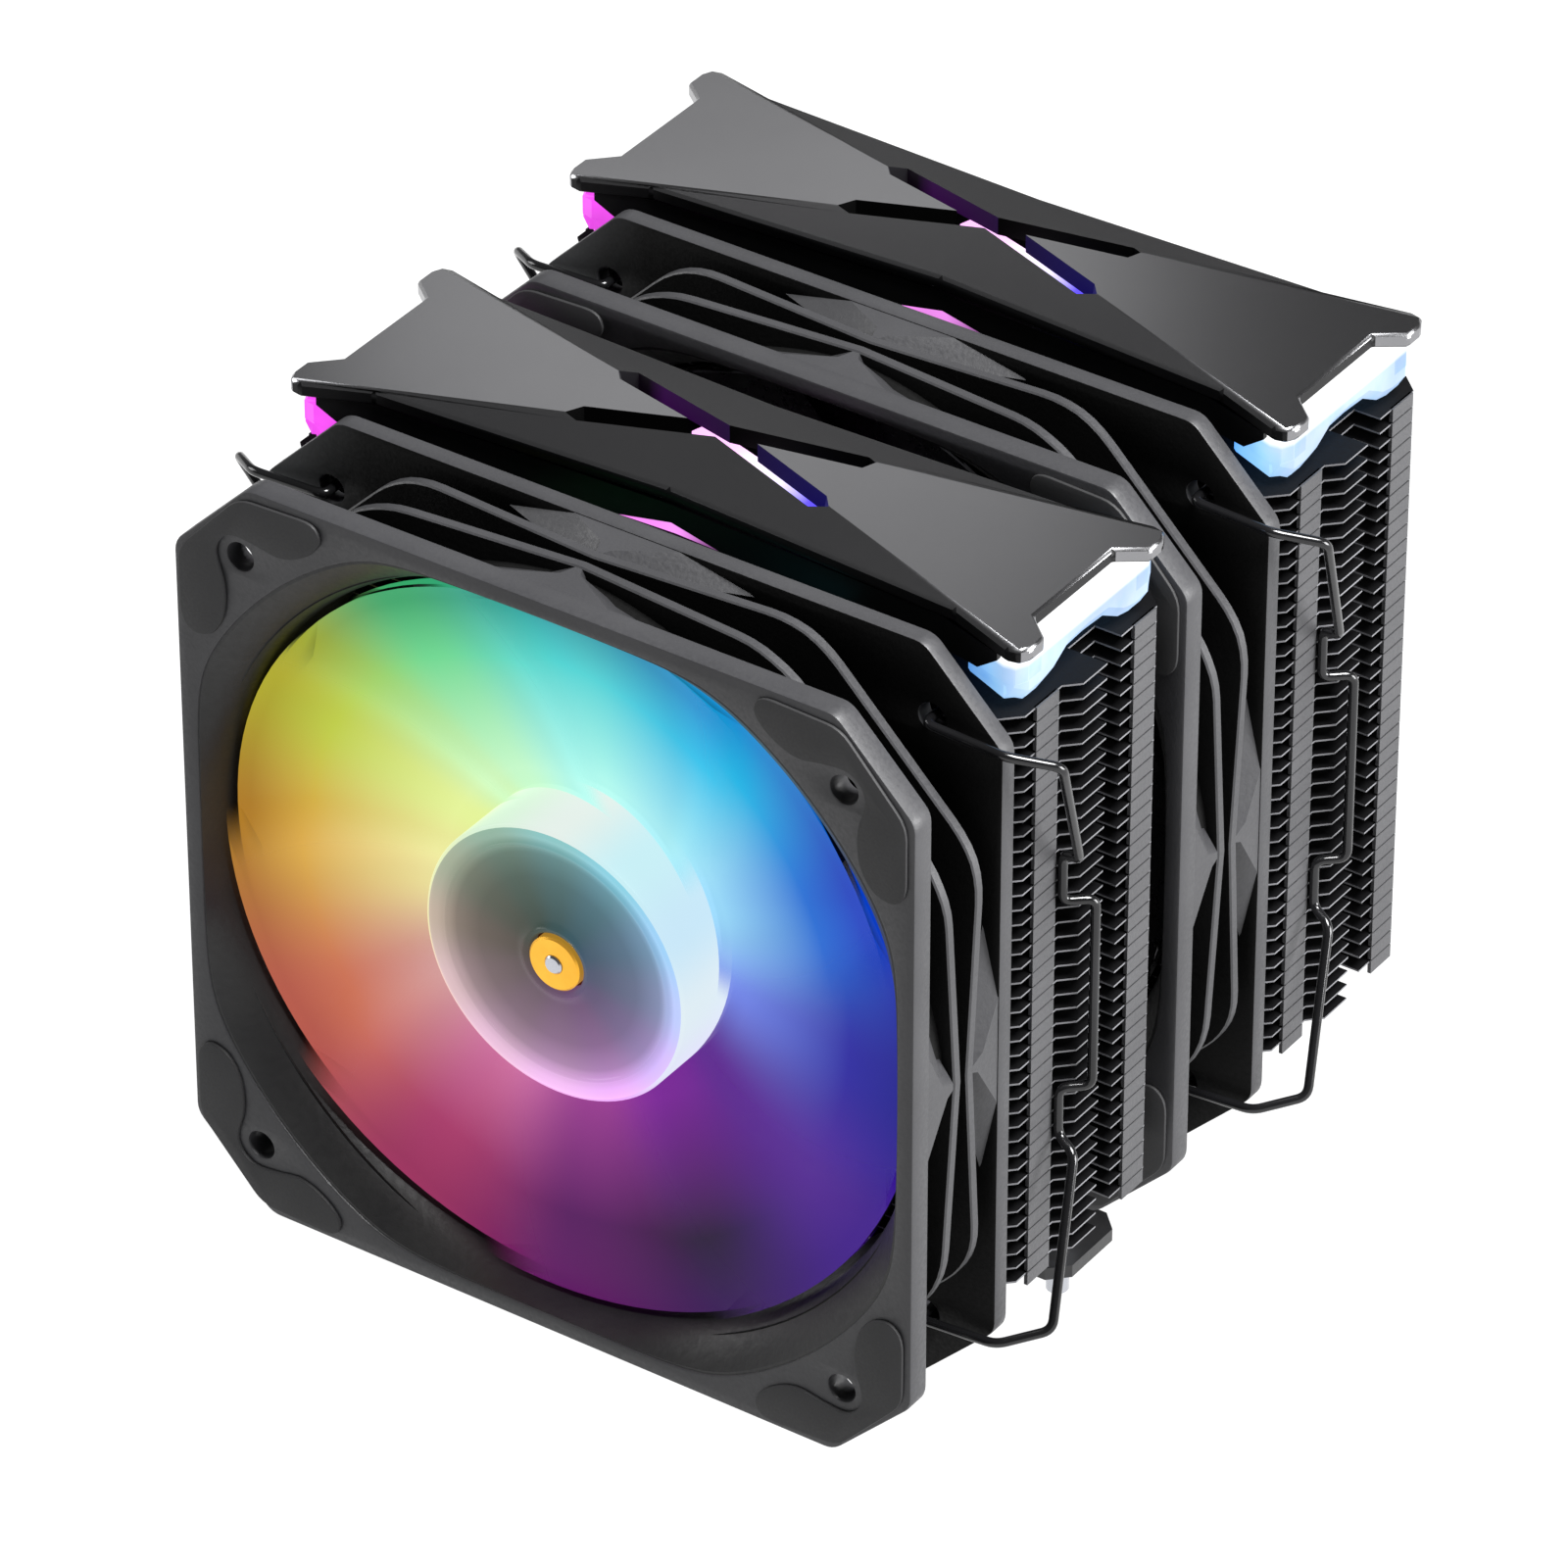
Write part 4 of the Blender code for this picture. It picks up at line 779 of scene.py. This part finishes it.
def cover_shape():
    """The cover: four facets of height 157.79 + 4.3(1 - max(|x|/64.4, |y|/19.2)) with the slits left open,
    and the same facets 3 lower by the slits and 2.4 lower elsewhere, joined by walls round the outline and
    round the slits.  With it comes each face's place in materials: metal, black (the underside and some
    outline walls, as painted shade in the notches), the slits' walls in painted shade and in painted violet
    light."""
    end, wide, waist, half = COVER_END, COVER_WIDE, 13.5, 1.75
    across = np.array([-DIAGONAL[1], DIAGONAL[0]])
    tip, shoulder = DIAGONAL * 23.4, DIAGONAL * 21.6
    right = cover_quarter(end, wide)
    front = [(end - 2.8, -wide), (end - 13.8, -15.8), (0.0, -waist), (13.8 - end, -15.8), (2.8 - end, -wide)]
    left = [(-x, -y) for x, y in right]
    rear = [(-x, -y) for x, y in front]
    flip = np.array([1, -1])
    near_right = (half / DIAGONAL[1], 0.0)
    near_front = (0.0, -half / DIAGONAL[0])
    under = shoulder - half * across
    over = shoulder + half * across
    facet_right = [near_right, under, tip, *right, tip * flip, under * flip]
    facet_front = [near_front, over * flip, tip * flip, right[-1], *front, left[0], -tip, -over]
    facet_left = [-np.array(point) for point in facet_right]
    facet_rear = [-np.array(point) for point in facet_front]
    outline = [*right, *front, *left, *rear]
    slit = [
        near_right, under, tip, over, -np.array(near_front), *[p * (-1, 1) for p in (over, tip, under)],
        -np.array(near_right), -under, -tip, -over, near_front, over * flip, tip * flip, under * flip,
    ]
    points, places = [], {}

    def spot(point, layer):
        """The number of the vertex at this place on the top (0) or the underside (1)."""
        key = (round(float(point[0]), 4), round(float(point[1]), 4), layer)
        if key not in places:
            places[key] = len(points)
            fall = max(abs(point[0]) / end, abs(point[1]) / wide)
            thick = 3.0 if math.hypot(*point) < 24 and abs(point[1]) != waist else 2.4
            points.append((point[0], point[1], COVER_LEVEL + COVER_RISE * (1 - fall) - thick * layer))
        return places[key]

    facets = [facet_right, facet_front, facet_left, facet_rear]
    faces = [[spot(p, 0) for p in facet] for facet in facets]
    faces += [[spot(p, 1) for p in reversed(facet)] for facet in facets]
    looks = [0] * 4 + [1] * 4
    # The walls along both long sides get the black material, and so do the walls in the notches at the ends,
    # as painted shade in place of the metal's reflection.
    for index, (a, b) in enumerate(zip(outline, [*outline[1:], outline[0]])):
        faces.append([spot(a, 0), spot(a, 1), spot(b, 1), spot(b, 0)])
        looks.append(1 if index in (3, 16) or 7 <= index <= 12 or index >= 20 else 0)
    # The slit from rear right to front left gets painted shade on its walls, and the other painted violet
    # light, as if lit by the lamp strip under it.
    for index, (a, b) in enumerate(zip(slit, [*slit[1:], slit[0]])):
        faces.append([spot(a, 0), spot(b, 0), spot(b, 1), spot(a, 1)])
        looks.append(3 if index // 4 % 2 else 2)
    return (np.array(points), faces), looks


def skirt(side):
    """The apron along one long side, a closed section carried from end to end.  It hangs to 150.5, rises a
    little over the middle and is cut away at its ends."""
    right = [
        (0, 12.95, 152.9), (10, 13.4, 151.1), (16, 13.6, 150.5), (50.6, 15.3, 150.5), (55.2, 16.85, 151.0),
        (59.4, 18.2, 154.4),
    ]
    rows = []
    for x, y, low in [(-x, y, low) for x, y, low in reversed(right[1:])] + right:
        rows.append([(x, side * (y + dy), z) for dy, z in ((0, low), (0, 156.0), (-0.9, 156.0), (-0.9, low))])
    return skin(np.array(rows), closed=False)


for tower, y in TOWERS.items():
    piece(
        f"{tower}_skirt_look", [(skirt(1), 0), (skirt(-1), 0)], [skirt_and_notch_shade_black], "cooler",
        (), (0, y, 0),
    )
    cover = piece(
        f"{tower}_cover_look", [cover_shape()], [cover_metal, skirt_and_notch_shade_black, slit_wall_shade_paint, slit_wall_violet_paint], "cooler",
        [f"{tower}_top_cover"], (0, y, 0), 10,
    )
    # Only edges away from the slits are bevelled: beyond 23.2 of the middle, or beyond 8.5 to front or rear.
    weights = []
    for first, last in [edge.vertices for edge in cover.data.edges]:
        middle = (cover.data.vertices[first].co + cover.data.vertices[last].co) / 2
        off_middle = abs(middle.y - y / 1000)
        weights.append(float(math.hypot(middle.x, off_middle) > 0.0232 or off_middle > 0.0085))
    cover.data.attributes.new("bevel_weight_edge", "FLOAT", "EDGE").data.foreach_set("value", weights)
    bevel = cover.modifiers.new("edges", "BEVEL")
    bevel.width = 0.0005
    bevel.segments = 1
    bevel.limit_method = "WEIGHT"

# ---- Light guides --------------------------------------------------------------------------------
# Under each cover lies a clear plastic guide, lit from one end to the other in pink, violet and ice blue.
# Its four horns hang lower than the plate, with a faceted arch between them at either end.
guide_glow, tree, shader = glowing("lit_clear_guide", 0.12, 1.1)
place = coordinate(tree, "X")
streaks = noise(tree, 120, 2, (1, 3, 2))
shifted = add_node(tree, "Math", {0: streaks, 1: 0.5}, operation="SUBTRACT").outputs[0]
along = ranged(tree, place, -0.064, 0.064, 0, 1)
along = add_node(tree, "Math", {0: shifted, 1: 0.05, 2: along}, operation="MULTIPLY_ADD").outputs[0]
lit = ramped(tree, along, (
    (0, (228, 72, 226)), (0.05, (248, 84, 246)), (0.12, (150, 20, 160)), (0.2, (8, 2, 14)),
    (0.38, (8, 2, 14)), (0.43, (255, 140, 250)), (0.5, (250, 150, 252)), (0.57, (8, 4, 20)),
    (0.84, (4, 8, 30)), (0.9, (84, 160, 250)), (0.95, (150, 205, 255)), (1, (196, 220, 255)),
))
cloud = ranged(tree, noise(tree, 90, 1), 0.3, 0.7, 0.75, 1.15)
lit = blended(tree, 1.0, lit, cloud, "MULTIPLY")
# A white band runs along the top of the right end, by the lamps.
upper = ranged(tree, coordinate(tree, "Z"), 0.1532, 0.1543, 0, 1)
right_end = ranged(tree, place, 0.054, 0.059, 0, 1)
by_lamps = add_node(tree, "Math", {0: upper, 1: right_end}, operation="MULTIPLY").outputs[0]
lit = blended(tree, by_lamps, lit, (1.2, 1.2, 1.2, 1))
tree.links.new(lit, shader.inputs["Emission Color"])
shader.inputs["Specular IOR Level"].default_value = 0.5

guide_end, guide_wide = COVER_END - 1.4, COVER_WIDE - 1.4
quarter = cover_quarter(guide_end, guide_wide)
guide_side = [
    (guide_end - 2.8, -guide_wide), (guide_end - 13.8, -14.4), (0.0, -12.1), (13.8 - guide_end, -14.4),
    (2.8 - guide_end, -guide_wide),
]
guide_plan = [*quarter, *guide_side, *[(-x, -y) for x, y in quarter], *[(-x, -y) for x, y in guide_side]]
horn_plan = np.array([
    (guide_end - 11, -14.2), (guide_end - 3, -17.4), (guide_end - 0.6, -15.0), (guide_end - 0.6, -12.6),
    (guide_end - 4, -9.6), (guide_end - 11, -11.6),
])


def guide_end_block(side):
    """The guide's end, a closed section carried across it.  Its underside is an arch between the horns, and
    a slope 1.8 high runs along the foot of its face."""
    half = [
        (0, 63.0, 150.5), (5.2, 63.0, 150.2), (9.2, 63.0, 147.9), (12.0, 63.0, 147.3), (15.4, 63.0, 147.4),
        (17.6, 61.9, 148.6),
    ]
    rows = []
    for y, out, low in [(-y, out, low) for y, out, low in reversed(half[1:])] + half:
        back = 60.6 if abs(y) > 17 else 54.0
        section = [(back, low + 1.6), (out - 1.1, low), (out, low + 1.8)]
        section += [(out, 154.1), (out - 0.4, 154.5), (back, 154.5)]
        rows.append([(side * x, y, z) for x, z in section])
    return skin(np.array(rows), closed=False)


guide_parts = [(slab(guide_plan, 150.4, 154.4, 0.5), 0), (guide_end_block(1), 0), (guide_end_block(-1), 0)]
guide_parts += [(slab(horn_plan * (sx, sy), 147.4, 151.2, 0.8), 0) for sx in (1, -1) for sy in (1, -1)]
for tower, y in TOWERS.items():
    piece(
        f"{tower}_guide_look", guide_parts, [guide_glow], "cooler", [f"{tower}_light_guide"],
        (0, y, 0), 20,
    )

# The lamp board lies on the guide.  A lit strip on it shows through one of the cover's two slits.
lamp_strip, tree, shader = glowing("lit_strip", 0.3, 1.5)
strip_light = ramped(tree, ranged(tree, coordinate(tree, "X"), -0.022, 0.022, 0, 1), (
    (0, (255, 150, 255)), (0.5, (255, 190, 255)), (0.62, (252, 232, 255)), (0.74, (225, 215, 255)),
    (0.88, (96, 80, 255)), (1, (40, 30, 200)),
))
tree.links.new(strip_light, shader.inputs["Emission Color"])
slit_along, slit_across = DIAGONAL * (1, -1), DIAGONAL[::-1]
strip_corners = ((-8.6, 1.2), (17.5, 1.0), (17.5, 4.2), (-8.6, 4.2))
strip_plan = [slit_along * a + slit_across * b for a, b in strip_corners]
board_parts = [
    (slab([(-40, -11.4), (40, -11.4), (40, 11.4), (-40, 11.4)], 154.8, 155.6, 0.2), 0),
    (slab(strip_plan, 155.55, 157.0, 0.1), 1),
]
for tower, y in TOWERS.items():
    piece(
        f"{tower}_board_look", board_parts, [board, lamp_strip], "cooler", [f"{tower}_led_board"],
        (0, y, 0),
    )

# ---- Wire clips ----------------------------------------------------------------------------------
# Black spring wire, bent into a bow that hooks into two corner holes of a fan and grips the fins' edges.
wire_black = finish(
    "black_spring_wire", paint(22, 22, 23), paint(30, 30, 32), 0.16, 0.5, grain=(500, 0.02, 0.03),
    specular=0.9,
)
clip_upper = [
    (52.5, 24.4, 52.5), (52.5, 20.25, 52.5), (65.7, 20.55, 51.7), (72.2, 25.6, 49.5), (68.25, 36.7, 26),
    (64.55, 38.1, 24.8), (64.55, 38.1, 16.5), (68.15, 41.4, 16.5),
]
clip_bends = np.array(clip_upper + [(x, y, -z) for x, y, z in reversed(clip_upper)])


def bent(corners, radius):
    """A wire's middle line: straight between its corners, with each corner eased."""
    trios = zip(corners[:-2], corners[1:-1], corners[2:])
    return np.concatenate([corners[:1], *[eased(*trio, radius, 0.48, 7) for trio in trios], corners[-1:]])


for fan, front in FAN_FRONTS.items():
    for side_name, side in (("right", 1), ("left", -1)):
        wire = rod(bent(clip_bends * (side, 1, 1), 1.6), 0.75, 14)
        piece(
            f"{fan}_clip_{side_name}_look", [(wire, 0)], [wire_black],
            fan.replace("_fan", f"_clip_{side_name}"), [f"{fan}_clip_{side_name}"],
            (0, front, FAN_AXIS),
        )

# ---- Base ----------------------------------------------------------------------------------------
# A nickel-plated copper block is clamped round the pipes, under a plated cap and a black steel bar whose two
# sprung screws pull the cooler down.
nickel = finish(
    "nickel_plate", paint(214, 212, 208), paint(204, 202, 198), 0.16, 1.0, grain=(300, 0.03, 0.04),
)
bar_paint = finish("black_bar_paint", paint(24, 24, 25), paint(30, 30, 31), 0.4, grain=(900, 0.2, 0.05))
for name in ("cold_plate", "base_cap"):
    dress(name, nickel)
dress("mounting_bar", bar_paint)
# A screw's spring is a coil of four turns and radius 2.9, at height 12.82 + 7.48 t after t of its
# length.
coil_steps = np.linspace(0, 1, 145)
coil_turn = 8 * math.pi * coil_steps
coil = np.stack([2.9 * np.cos(coil_turn), 2.9 * np.sin(coil_turn), 12.82 + 7.48 * coil_steps], -1)
for side_name, side in (("left", -1), ("right", 1)):
    for kind in ("washer", "screw"):
        dress(f"mount_{kind}_{side_name}", steel)
    spring = piece(
        f"mount_spring_{side_name}_look", [(rod(coil, 0.44, 12), 0)], [steel], "cooler",
        [f"mount_spring_{side_name}"], (side * 37.5, 0, 0),
    )
    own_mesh(spring)
